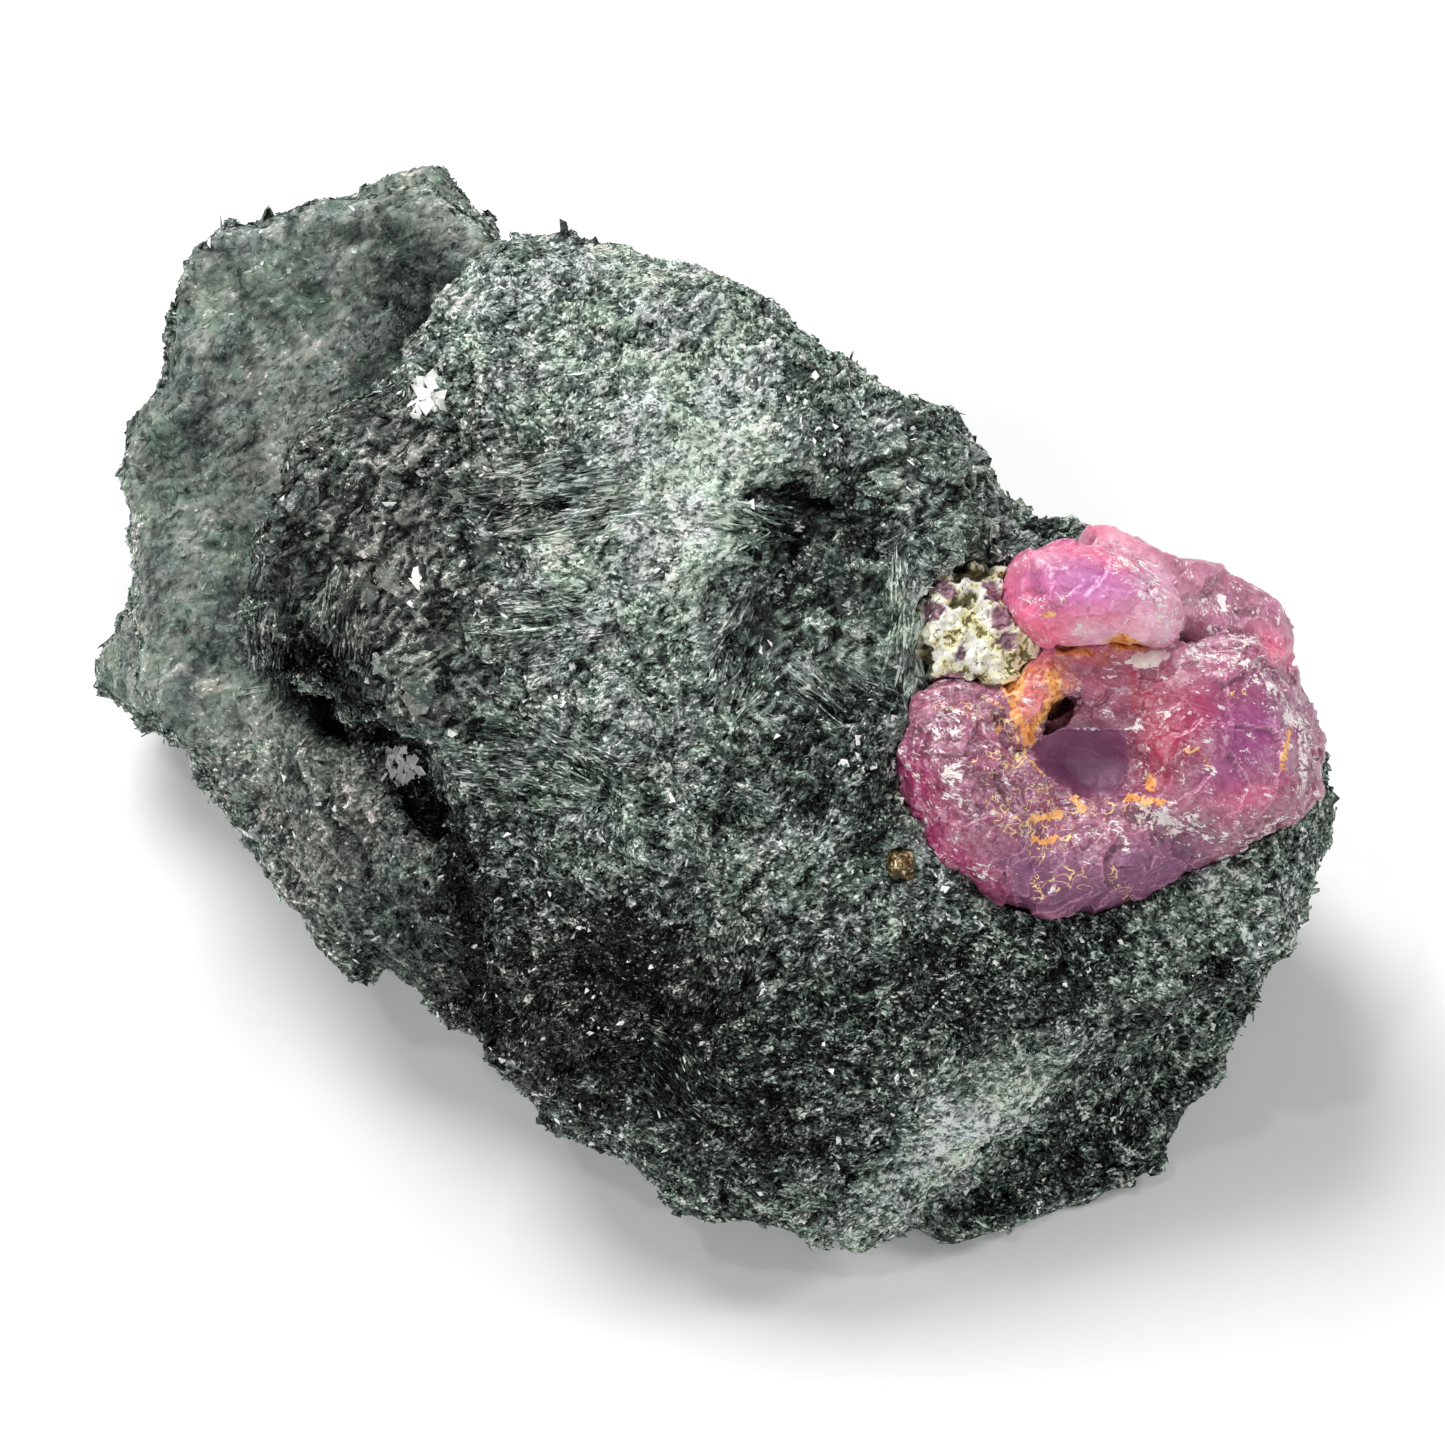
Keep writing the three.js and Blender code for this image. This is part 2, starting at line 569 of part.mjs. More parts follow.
// The base is one flat break.
function rockSolid() {
  const whole = solidOfField(rockField, ROCK_BOX, ROCK_CELL);
  const under = solidOf(new THREE.BoxGeometry(200, 200, 60).translate(0, 0, -30));
  const crystals = [RUBY_MAIN, RUBY_UPPER, RUBY_REAR, MICA_PATCH];
  let rock = whole.subtract(under).subtract(solidOfCrystals(crystals, SEAM));
  for (const crystal of crystals) rock = rock.subtract(openingSolid(crystal));
  return mainPart(rock.subtract(grainSolid(SEAM)));
}

// A crystal grew up to those before it, which leave a seam.
const cutBy = (crystal, earlier) =>
  mainPart(solidOfCrystals([crystal]).subtract(solidOfCrystals(earlier, SEAM)));

const finish = (color, roughness, metalness) =>
  new THREE.MeshStandardMaterial({ color, roughness, metalness });

const PIECES = [
  ["matrix", rockSolid(), finish(0x3c443f, 0.6, 0.05)],
  ["ruby_upper", solidOfCrystals([RUBY_UPPER]), finish(0xd0508c, 0.3, 0)],
  ["ruby_main", cutBy(RUBY_MAIN, [RUBY_UPPER]), finish(0x9a3f63, 0.35, 0)],
  ["ruby_rear", cutBy(RUBY_REAR, [RUBY_UPPER, RUBY_MAIN]), finish(0xa84a70, 0.35, 0)],
  ["mica_patch", cutBy(MICA_PATCH, [RUBY_UPPER, RUBY_MAIN]), finish(0xd8cf9a, 0.5, 0)],
  ["brown_grain", grainSolid(), finish(0x4a3a18, 0.3, 0)],
];

const specimen = new THREE.Group();
for (const [name, solid, material] of PIECES) {
  const mesh = new THREE.Mesh(geometryOf(solid), material);
  mesh.name = name;
  specimen.add(mesh);
}

// The origin is on the base, under the middle of the specimen's box.
const middle = new THREE.Box3().setFromObject(specimen).getCenter(new THREE.Vector3());
specimen.position.set(-middle.x, -middle.y, 0);

export default specimen;
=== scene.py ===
"""Ruby on matrix: a rounded ruby cluster, with mica, in a chunk of dark green amphibole rock.

The rock is one solid whose skin is grown over with crystals: pale fibres, striated blades,
cleaved plates, grains and bright flakes. Sizes in the code are in millimetres of the show face's frame,
u to the right, v up the face and w out of it, unless a name says otherwise.
"""

import math

import bmesh
import bpy
import numpy as np
from bpy.props import FloatProperty, FloatVectorProperty, IntProperty, PointerProperty
from mathutils import Matrix, Vector
from mathutils.bvhtree import BVHTree


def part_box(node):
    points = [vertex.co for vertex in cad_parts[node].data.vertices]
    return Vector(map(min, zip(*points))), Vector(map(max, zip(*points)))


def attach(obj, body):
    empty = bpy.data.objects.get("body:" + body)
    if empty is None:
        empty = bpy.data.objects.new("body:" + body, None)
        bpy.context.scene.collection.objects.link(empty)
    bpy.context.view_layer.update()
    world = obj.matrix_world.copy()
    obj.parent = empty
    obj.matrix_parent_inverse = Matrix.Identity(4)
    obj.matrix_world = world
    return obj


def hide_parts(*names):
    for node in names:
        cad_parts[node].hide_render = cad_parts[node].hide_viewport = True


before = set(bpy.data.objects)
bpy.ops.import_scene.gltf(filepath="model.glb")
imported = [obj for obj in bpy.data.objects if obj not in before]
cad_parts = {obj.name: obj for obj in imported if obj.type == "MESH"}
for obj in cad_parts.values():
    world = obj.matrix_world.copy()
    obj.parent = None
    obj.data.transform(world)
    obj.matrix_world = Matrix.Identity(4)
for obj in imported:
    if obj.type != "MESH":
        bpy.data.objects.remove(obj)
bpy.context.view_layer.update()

bl_info = {
    "name": "Ruby on Matrix",
    "version": (1, 0, 0),
    "blender": (4, 5, 0),
    "location": "3D View > Sidebar > Specimen",
    "description": "Dresses a ruby cluster in amphibole rock with its crystals and finishes",
    "category": "Add Mesh",
}

MM = 0.001
FLOOR_HALF = 3.0  # half the floor's width, in metres
LENS = 85.2  # with a sensor 36 wide, in millimetres
CAMERA_RISE = math.radians(55)  # from level to the camera, square to the show face
CELL_SHAKE = 0.9  # how far the middles of broken cells stray, in cells
SEAM_REACH = 1.0  # a crystal's places this near its neighbour are drawn up to it
SEAM_GAP = 0.04
ROCK_SEAM_REACH = 1.1  # the same where the rock meets the crystals
ROCK_SEAM_GAP = 0.05
GRAIN_GRID = 0.09  # spacing of the brown grain's surface points
GRAIN_SHARE = 0.78  # the brown grain's size beside its solid
RUBY_IOR = 1.76
AMPHIBOLE_IOR = 1.6
BROWN_IOR = 1.7

# ------------------------------------------------------------------ the show face's frame

LEAN = math.radians(35)  # from level to the show face
AXES = np.array(
    [
        [1, 0, 0],
        [0, math.cos(LEAN), math.sin(LEAN)],
        [0, -math.sin(LEAN), math.cos(LEAN)],
    ]
)
BROWN_GRAIN_AT = np.array([10, -8, -0.4])  # the grain's middle ties this frame to the solids
SIGHT = 190  # from the show face to the eye that the outlines below are drawn for


def face_origin():
    """The middle of the show face, in metres of the row frame."""
    low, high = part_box("brown_grain")
    return np.array((low + high) / 2) - BROWN_GRAIN_AT @ AXES * MM


ORIGIN = face_origin()


def to_face(points):
    return (points - ORIGIN) @ AXES.T / MM


def to_row(places):
    return places @ AXES * MM + ORIGIN


def seen(places):
    """(U, V) of places as they line up on the plane w = 0 for the eye in front of the face."""
    return places[:, :2] * (SIGHT / (SIGHT - places[:, 2:]))


# ------------------------------------------------------------------ noise, each use with a seed of its own


def lattice(cell, seed):
    """A number from 0 to 1 for each whole-number place."""
    i, j, k = (cell[..., axis].astype(np.int64).astype(np.uint32) for axis in range(3))
    h = i * np.uint32(374761393) + j * np.uint32(668265263) + k * np.uint32(1274126177)
    h = h + np.uint32(seed * 9176 + 17)
    h = (h ^ (h >> np.uint32(13))) * np.uint32(1274126177)
    h = (h ^ (h >> np.uint32(15))) * np.uint32(2246822519)
    return (h ^ (h >> np.uint32(16))).astype(np.float64) / 4294967295


def smooth_noise(places, size, seed):
    """Smooth noise from -1 to 1, with bumps about one size across."""
    scaled = places / size
    cell = np.floor(scaled)
    part = scaled - cell
    ease = part * part * (3 - 2 * part)
    total = 0
    for corner in range(8):
        step = np.array([corner & 1, corner >> 1 & 1, corner >> 2])
        weight = np.prod(np.where(step, ease, 1 - ease), axis=1)
        total = total + weight * lattice(cell + step, seed)
    return total * 2 - 1


def rough_noise(places, size, seed, octaves=3):
    """Noise with finer noise on it, from about -1 to 1."""
    layers = range(octaves)
    total = sum(smooth_noise(places, size / 2**n, seed + n) / 2**n for n in layers)
    return total / sum(1 / 2**n for n in layers)


def breaks(places, size, seed):
    """For each place: the way from its cell's middle, in cells, and three numbers of that cell."""
    scaled = places / size
    cell = np.floor(scaled)
    nearest = np.full(len(places), np.inf)
    away = np.zeros_like(places)
    draws = np.zeros_like(places)
    for n in range(27):
        near = cell + np.array([n % 3, n // 3 % 3, n // 9]) - 1
        shake = np.stack([lattice(near, seed + k) for k in range(3)], axis=1) - 0.5
        gap = scaled - near - 0.5 - CELL_SHAKE * shake
        length = (gap**2).sum(axis=1)
        closer = length < nearest
        nearest = np.where(closer, length, nearest)
        away[closer] = gap[closer]
        draws[closer] = np.stack([lattice(near[closer], seed + k) for k in (3, 4, 5)], axis=1)
    return away, draws


def flat_breaks(places, size, seed, tilt, step):
    """The height of small flat faces, each with a tilt and a height of its own, in mm."""
    away, draws = breaks(places, size, seed)
    slopes = draws * 2 - 1
    return size * (tilt * (away * slopes).sum(axis=1) + step * slopes[:, 0])


def ramp(values, low, high):
    share = np.clip((values - low) / (high - low), 0, 1)
    return share * share * (3 - 2 * share)


# ------------------------------------------------------------------ marks on the show face


def turned(points, at, degrees):
    angle = math.radians(degrees)
    du, dv = points[:, 0] - at[0], points[:, 1] - at[1]
    along = du * math.cos(angle) + dv * math.sin(angle)
    return along, dv * math.cos(angle) - du * math.sin(angle)


def spot(points, at, half, turn=0):
    """A soft ellipse: 1 at its middle, about a half at its edge."""
    along, across = turned(points, at, turn)
    return np.exp(-0.7 * ((along / half[0]) ** 2 + (across / half[1]) ** 2))


def line_distance(points, line):
    nearest = np.full(len(points), np.inf)
    for start, end in zip(line[:-1], line[1:]):
        start, run = np.array(start), np.array(end) - np.array(start)
        share = np.clip((points - start) @ run / (run @ run), 0, 1)
        gap = np.linalg.norm(points - start - share[:, None] * run, axis=1)
        nearest = np.minimum(nearest, gap)
    return nearest


def stroke(points, line, width):
    """A soft line: 1 along it, about a half at half its width."""
    return np.exp(-0.7 * (2 * line_distance(points, line) / width) ** 2)


def patch(points, outline, soft):
    """1 inside a closed outline and 0 outside it, with an edge that soft wide."""
    closed = [*outline, outline[0]]
    inside = np.zeros(len(points), bool)
    for (u0, v0), (u1, v1) in zip(closed[:-1], closed[1:]):
        spans = (v0 > points[:, 1]) != (v1 > points[:, 1])
        slope = (u1 - u0) / (v1 - v0) if v1 != v0 else 0
        inside ^= spans & (points[:, 0] < u0 + (points[:, 1] - v0) * slope)
    gap = line_distance(points, closed)
    return ramp(np.where(inside, gap, -gap), -soft / 2, soft / 2)


# ------------------------------------------------------------------ meshes


def object_of(mesh, name):
    made = bpy.data.objects.new(name, mesh)
    bpy.context.scene.collection.objects.link(made)
    return made


def baked(made):
    """The object's mesh with its modifiers applied, in a plain object that takes its name."""
    graph = bpy.context.evaluated_depsgraph_get()
    mesh = bpy.data.meshes.new_from_object(
        made.evaluated_get(graph), preserve_all_data_layers=True, depsgraph=graph
    )
    name = made.name
    bpy.data.objects.remove(made)
    return object_of(mesh, name)


def joined_copy(node, name):
    """A copy of a solid's mesh whose loose triangles are merged."""
    made = object_of(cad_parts[node].data.copy(), name)
    made.data.materials.clear()
    work = bmesh.new()
    work.from_mesh(made.data)
    bmesh.ops.remove_doubles(work, verts=work.verts, dist=1e-6)
    work.to_mesh(made.data)
    work.free()
    return made


def gridded(node, name, cell):
    """A solid's surface on an even grid, cell metres apart."""
    made = joined_copy(node, name)
    grid = made.modifiers.new("grid", "REMESH")
    grid.mode = "VOXEL"
    grid.voxel_size = cell
    made = baked(made)
    made.data.polygons.foreach_set("use_smooth", np.ones(len(made.data.polygons), bool))
    return made


def read_points(mesh):
    found = np.empty(len(mesh.vertices) * 3)
    mesh.vertices.foreach_get("co", found)
    return found.reshape(-1, 3)


def write_points(mesh, points):
    mesh.vertices.foreach_set("co", points.astype(np.float32).ravel())
    mesh.update()


def read_normals(mesh):
    found = np.empty(len(mesh.vertices) * 3)
    mesh.vertices.foreach_get("normal", found)
    return found.reshape(-1, 3) @ AXES.T


def read_edges(mesh):
    found = np.empty(len(mesh.edges) * 2, np.int32)
    mesh.edges.foreach_get("vertices", found)
    return found.reshape(-1, 2)


def relaxed(points, edges, rounds):
    """Evens out a surface without shrinking it: each round draws in, then lets out."""
    count = np.bincount(edges.ravel(), minlength=len(points))[:, None]
    for share in [0.6, -0.62] * rounds:
        total = np.empty_like(points)
        for axis in range(3):
            one, other = points[edges[:, 0], axis], points[edges[:, 1], axis]
            total[:, axis] = np.bincount(edges[:, 0], other, len(points))
            total[:, axis] += np.bincount(edges[:, 1], one, len(points))
        points = points + share * (total / count - points)
    return points


def crests(points, normals, edges, cell):
    """How far each point stands out from its neighbours: above 0 on ridges, below 0 in pits."""
    count = np.bincount(edges.ravel(), minlength=len(points))
    out = np.zeros(len(points))
    for axis in range(3):
        one, other = points[edges[:, 0], axis], points[edges[:, 1], axis]
        total = np.bincount(edges[:, 0], other, len(points))
        total += np.bincount(edges[:, 1], one, len(points))
        out += (points[:, axis] - total / count) * normals[:, axis]
    return np.tanh(out / cell * 6)


def add_numbers(mesh, name, values):
    kind = "FLOAT" if values.ndim == 1 else "FLOAT_VECTOR"
    made = mesh.attributes.new(name, kind, "POINT")
    key = "value" if values.ndim == 1 else "vector"
    made.data.foreach_set(key, values.astype(np.float32).ravel())


def tree_of(objects):
    """One search tree over several meshes."""
    points, faces = [], []
    for made in objects:
        start = len(points)
        points.extend(v.co.copy() for v in made.data.vertices)
        faces.extend([start + i for i in p.vertices] for p in made.data.polygons)
    return BVHTree.FromPolygons(points, faces)


def hug(places, objects, reach, gap):
    """Draws the places near these objects up to them, so that the seam between them closes."""
    tree = tree_of(objects)
    points = to_row(places)
    low = np.min([read_points(o.data).min(axis=0) for o in objects], axis=0) - reach * MM
    high = np.max([read_points(o.data).max(axis=0) for o in objects], axis=0) + reach * MM
    near = np.nonzero(((points > low) & (points < high)).all(axis=1))[0]
    moved = points.copy()
    distance = np.full(len(points), np.inf)
    for n in near:
        at = Vector(points[n])
        hit, _, _, length = tree.find_nearest(at, reach * MM)
        if hit is None:
            continue
        distance[n] = length / MM
        share = 1 - (length / MM / reach) ** 2
        pull = max(length - gap * MM, 0) * share
        moved[n] = at + (hit - at).normalized() * pull
    return to_face(moved), distance


# ------------------------------------------------------------------ shader trees


class Shading:
    """A material and short calls for the nodes of its tree. Sizes are in millimetres."""

    def __init__(self, name):
        self.material = bpy.data.materials.new(name)
        self.material.use_nodes = True
        self.tree = self.material.node_tree
        self.tree.nodes.clear()
        given = self.add("ShaderNodeTexCoord").outputs
        self.place, self.normal = given["Object"], given["Normal"]

    def add(self, kind, settings=None, sockets=None):
        made = self.tree.nodes.new(kind)
        for key, value in (settings or {}).items():
            setattr(made, key, value)
        for key, value in (sockets or {}).items():
            self.feed(made.inputs[key], value)
        return made

    def feed(self, socket, value):
        if isinstance(value, bpy.types.NodeSocket):
            self.tree.links.new(value, socket)
        elif socket.type == "RGBA":
            socket.default_value = (*value[:3], 1)
        else:
            socket.default_value = value

    def attribute(self, name):
        return self.add("ShaderNodeAttribute", {"attribute_name": name}).outputs["Fac"]

    def noise(self, size, detail=2, rough=0.5, warp=0, place=None):
        sockets = {
            "Vector": self.place if place is None else place,
            "Scale": 1 / (size * MM),
            "Detail": detail,
            "Roughness": rough,
            "Distortion": warp,
        }
        return self.add("ShaderNodeTexNoise", sockets=sockets)

    def wave(self, *given, **named):
        return self.noise(*given, **named).outputs["Fac"]

    def cells(self, size, feature="F1", place=None):
        sockets = {"Vector": self.place if place is None else place, "Scale": 1 / (size * MM)}
        return self.add("ShaderNodeTexVoronoi", {"feature": feature}, sockets)

    def draws(self, cells):
        """Three numbers of each cell's own, from -0.5 to 0.5."""
        return self.vector("SUBTRACT", cells.outputs["Color"], (0.5,) * 3)

    def drawn_out(self, place, degrees, times):
        """A place for textures drawn out so many times longer along one way on the show face."""
        turn = Matrix.Rotation(LEAN, 3, "X") @ Matrix.Rotation(math.radians(degrees), 3, "Z")
        sockets = {"Vector": place, "Rotation": turn.to_euler(), "Scale": (times, 1, 1)}
        return self.add("ShaderNodeMapping", {"vector_type": "TEXTURE"}, sockets).outputs[0]

    def warped(self, size, reach):
        """The place pushed about by noise, up to reach."""
        shake = self.noise(size, 1).outputs["Color"]
        push = self.scaled(self.vector("SUBTRACT", shake, (0.5,) * 3), 2 * reach * MM)
        return self.vector("ADD", self.place, push)

    def vector(self, operation, first, second=None):
        sockets = {0: first} if second is None else {0: first, 1: second}
        return self.add("ShaderNodeVectorMath", {"operation": operation}, sockets).outputs[0]

    def dot(self, first, second):
        made = self.add("ShaderNodeVectorMath", {"operation": "DOT_PRODUCT"}, {0: first, 1: second})
        return made.outputs["Value"]

    def scaled(self, vector, by):
        made = self.add("ShaderNodeVectorMath", {"operation": "SCALE"}, {0: vector, "Scale": by})
        return made.outputs[0]

    def sum(self, operation, *values, clamp=False):
        settings = {"operation": operation, "use_clamp": clamp}
        return self.add("ShaderNodeMath", settings, dict(enumerate(values))).outputs[0]

    def plus(self, one, other):
        return self.sum("ADD", one, other)

    def less(self, one, other):
        return self.sum("SUBTRACT", one, other)

    def times(self, one, other):
        return self.sum("MULTIPLY", one, other)

    def times_plus(self, one, other, more):
        return self.sum("MULTIPLY_ADD", one, other, more)

    def most(self, one, *others):
        for other in others:
            one = self.sum("MAXIMUM", one, other)
        return one

    def stretch(self, value, low, high, to_low=0, to_high=1):
        """The value's stretch from low to high made to run between two others, smoothly."""
        sockets = {"Value": value, "From Min": low, "From Max": high, "To Min": to_low, "To Max": to_high}
        settings = {"interpolation_type": "SMOOTHSTEP"}
        return self.add("ShaderNodeMapRange", settings, sockets).outputs[0]

    def mix(self, share, first, second, blend="MIX"):
        settings = {"data_type": "RGBA", "clamp_factor": True, "blend_type": blend}
        return self.add("ShaderNodeMix", settings, {0: share, 6: first, 7: second}).outputs[2]

    def ramp(self, value, stops):
        made = self.add("ShaderNodeValToRGB", sockets={0: value})
        elements = made.color_ramp.elements
        while len(elements) < len(stops):
            elements.new(0.5)
        for element, (place, colour) in zip(elements, stops):
            element.position = place
            element.color = (*colour, 1)
        return made.outputs["Color"]

    def bump(self, height, reach, strength=1.0, below=None):
        sockets = {"Height": height, "Distance": reach * MM, "Strength": strength}
        if below is not None:
            sockets["Normal"] = below
        return self.add("ShaderNodeBump", sockets=sockets).outputs[0]

    def leaning(self, *pushes):
        """The surface's normal pushed over by vectors, one for each small flat face."""
        normal = self.normal
        for push in pushes:
            normal = self.vector("ADD", normal, push)
        return self.vector("NORMALIZE", normal)

    def finish(self, sockets):
        """Ends the tree in one surface."""
        skin = self.add("ShaderNodeBsdfPrincipled", sockets=sockets)
        self.add("ShaderNodeOutputMaterial", sockets={"Surface": skin.outputs[0]})
        return self.material


# ------------------------------------------------------------------ the rock's zones, (U, V)

# How light each kind of rock is, from 0, black, to 1, white.
KINDS = {"black": -0.1, "dark": 0.16, "grey": 0.42, "green": 0.58, "pale": 0.75, "bleached": 0.96}
# The tones of the front and the rear block away from every spot below.
FRONT_PLAIN = 0.5
REAR_PLAIN = 0.68
# Where each kind shows on the front block: U, V, half sizes, turn.
FRONT_ROCK = {
    # The first black spot is painted shade in the cavity at the top of the crease; the second, along the
    # bottom, is partly the rock's own black and partly painted shade where the rock faces down.
    "black": [(-22.8, 2.2, 2, 2, 0), (-7.5, -15, 6.5, 4, 0)],
    "dark": [
        # Along the bottom: partly the rock's own dark and partly painted shade where the rock faces down.
        (0, -20, 9, 4, -10),
        (14.5, -14.4, 8, 2.6, 0),
        # Painted shade in the scoop under the lower right ridge.
        (19, -23.5, 6, 2, 40),
        (4.3, 10.2, 3, 3.2, 0),
        (6.6, -1, 3.4, 1.8, 0),
    ],
    "grey": [
        (-18.5, 10, 5, 8, 0),
        (-16.5, 4, 4, 4, 0),
        (-12, -9.5, 3.6, 5, 0),
        (3.5, -14, 5, 2.4, 0),
        (12, -18.3, 6, 2, 0),
        (1, 5.8, 2.2, 2.2, 0),
        (9, -2, 1.5, 4.5, 0),
        (11.5, 13, 5, 2.4, -30),
        (-17.5, -12, 4, 3.4, -45),
    ],
    "green": [
        (-11, 15, 2.5, 6, 0),
        (-7, -1, 8, 4, 0),
        (2, -7.5, 9, 4, 0),
        # Painted light: these two green spots light the lower right ridge, which catches the light.
        (23, -15.3, 5, 1.3, 35),
        (28.5, -10.5, 5, 2.2, 45),
        (6.2, 4.2, 3.2, 1.6, 45),
        (5.2, 18.8, 5, 2.4, -35),
        (-24, -4, 6, 6, 0),
    ],
    "pale": [
        (-7.5, 22, 8.5, 5.5, -14),
        (-6.5, 7.5, 6, 4.5, 0),
        (10.3, 5, 0.8, 5, 0),
        (-18.8, -3.6, 2, 1.6, 0),
    ],
    # Painted light: the second bleached spot lights the lower right ridge.
    "bleached": [(-1.2, 14.6, 3.8, 4.2, 0), (13, -22.8, 5, 2.5, 47)],
}
# The same for the rear block, which is pale where nothing else is said.
REAR_ROCK = {
    "grey": [(-17.5, 23.5, 2, 3, 0)],
    "green": [(-26, 7, 3, 4, 0), (-30, 16, 2.5, 4, 0)],
}
# Zones of cleaved plates, zones of even grain, and zones whose rock is brownish rather than green.
PLATED = [(-19.5, 10, 5, 8, 0), (-17, 3, 4, 4, 0), (5, 6.5, 5, 7.5, 0), (12, 13, 5, 3, -30)]
QUIET = [(-25, -3, 5, 5, 0), (-21, -8, 4, 4, 0), (-18, -12, 3, 3, 0)]
WARM = [(-19, 9, 6, 9, 0), (-8, -15, 7, 4, 0), (-24, -6, 8, 6, 0)]
# Bundles whose blades all run one way: U, V, half sizes, and the way they run, in degrees.
BUNDLES = [
    (-10.5, 5.4, 3.5, 2, 4),
    (-10, -2.4, 4.4, 2.6, -6),
    (-9.5, 12.5, 5, 2.4, 6),
    (10.3, 5, 1, 5.6, 90),
    (1.2, 3.6, 1.8, 2.6, 70),
    (2.4, 11, 3.4, 1.2, -14),
    (6, 2, 2.6, 1.6, -42),
    (-21, 4.4, 1.4, 4, 86),
    (-24.6, 5, 1.4, 4.4, 84),
    (-2.6, -19.6, 2.6, 3, -50),
]
# Places where mirror-bright mica flakes sit, glittering places, and flat faces bare of crystals.
MIRROR_SPOTS = [(-16.3, 18.3, 0.6, 0.8, 0), (-17.3, -2.4, 0.8, 0.7, 0), (-16.9, 7.6, 0.4, 0.7, 0)]
BRIGHT_SPOTS = [
    (-2.4, 12.6, 1.2, 0.3, 0),
    (7.6, 3.6, 0.8, 1.2, 0),
    (-6.4, 12.2, 2.2, 0.2, 0),
]
BARE_FACES = [
    (5.3, 11.4, 2, 1.2, -20),
    (2.4, 4.8, 1.2, 1.8, 20),
    (6.8, 6.6, 1.2, 0.9, 0),
    (10.4, 14.2, 1.2, 0.9, -40),
    (-20.4, 12.6, 1.4, 1, 20),
    (-19.6, 16.6, 2.4, 1, -12),
    (-17.9, 10.6, 1.3, 0.6, -10),
    (-24.4, 7.4, 0.8, 2.4, 0),
    (-13, 10, 0.9, 0.5, 10),
]
# Grooves: a line, its width, its depth and how much lighter or darker the rock is painted along it; below 0
# is painted shade in the groove.
GROOVES = [
    {
        "line": [(-23.5, 1.3), (-21.2, 0.1), (-19.6, -0.7), (-17.9, -1.3), (-16.5, -4.3),
                 (-14.9, -7.9), (-14, -13), (-13.5, -17)],
        "width": 1.5,
        "depth": 1.8,
        "shade": -0.75,
    },
    {"line": [(-23.4, 3.6), (-22.2, 2.2)], "width": 2, "depth": 2.2, "shade": -0.9},
    {
        "line": [(-11.7, 26.5), (-14.9, 25.4), (-17.9, 21.8), (-20.7, 19), (-22.9, 16.3),
                 (-25.1, 11.3), (-25.6, 7.9), (-25.6, 3.8)],
        "width": 1.6,
        "depth": -0.4,
        "shade": -0.05,
    },
    {"line": [(27.4, -15), (26.4, -16.8)], "width": 1.6, "depth": 1.2, "shade": -0.9},
    {"line": [(-13, 11.7), (-9, 12.3), (-5.5, 12)], "width": 0.7, "depth": 0.35, "shade": -0.2},
    {
        "line": [(1.5, 12.8), (4, 12.9), (6.8, 11.6), (7.4, 9.5)],
        "width": 0.9,
        "depth": 0.5,
        "shade": -0.25,
    },
]

# Where the broken outline swells or draws in: U, V, half sizes, turn and how far, in mm.
SWELLS = [
    (35.1, -3.8, 1.6, 2.4, 0, -1.2),
    (30.6, -12.2, 1.6, 2, 0, 1.1),
    (30.6, -16, 1.5, 1.5, 0, -1.4),
    (-9.2, 27.7, 2.4, 1, 0, -0.6),
    (-1.1, 24.6, 1.8, 1, 0, 0.6),
    (1.8, 24.2, 1.5, 1.2, 0, -0.6),
    (-14.4, 31, 1.4, 1.4, 0, -0.7),
]


def blended_tone(points, zones, plain):
    """The tone of each point, between the kinds of rock near it and a plain tone away from them."""
    total, weight = np.full(len(points), 0.15 * plain), 0.15
    for kind, spots in zones.items():
        for u, v, half_u, half_v, turn in spots:
            here = spot(points, (u, v), (half_u, half_v), turn) ** 1.5
            total, weight = total + here * KINDS[kind], weight + here
    return total / weight


def strongest(points, marks):
    values = [spot(points, (u, v), (half_u, half_v), turn) for u, v, half_u, half_v, turn in marks]
    return np.max(values, axis=0)


def streaks(points, places):
    """Fine streaks down the calm rock."""
    along, across = turned(points, (0, 0), -62)
    return rough_noise(np.stack([along / 3.5, across, places[:, 2] / 2], axis=1), 0.9, 73, 2)


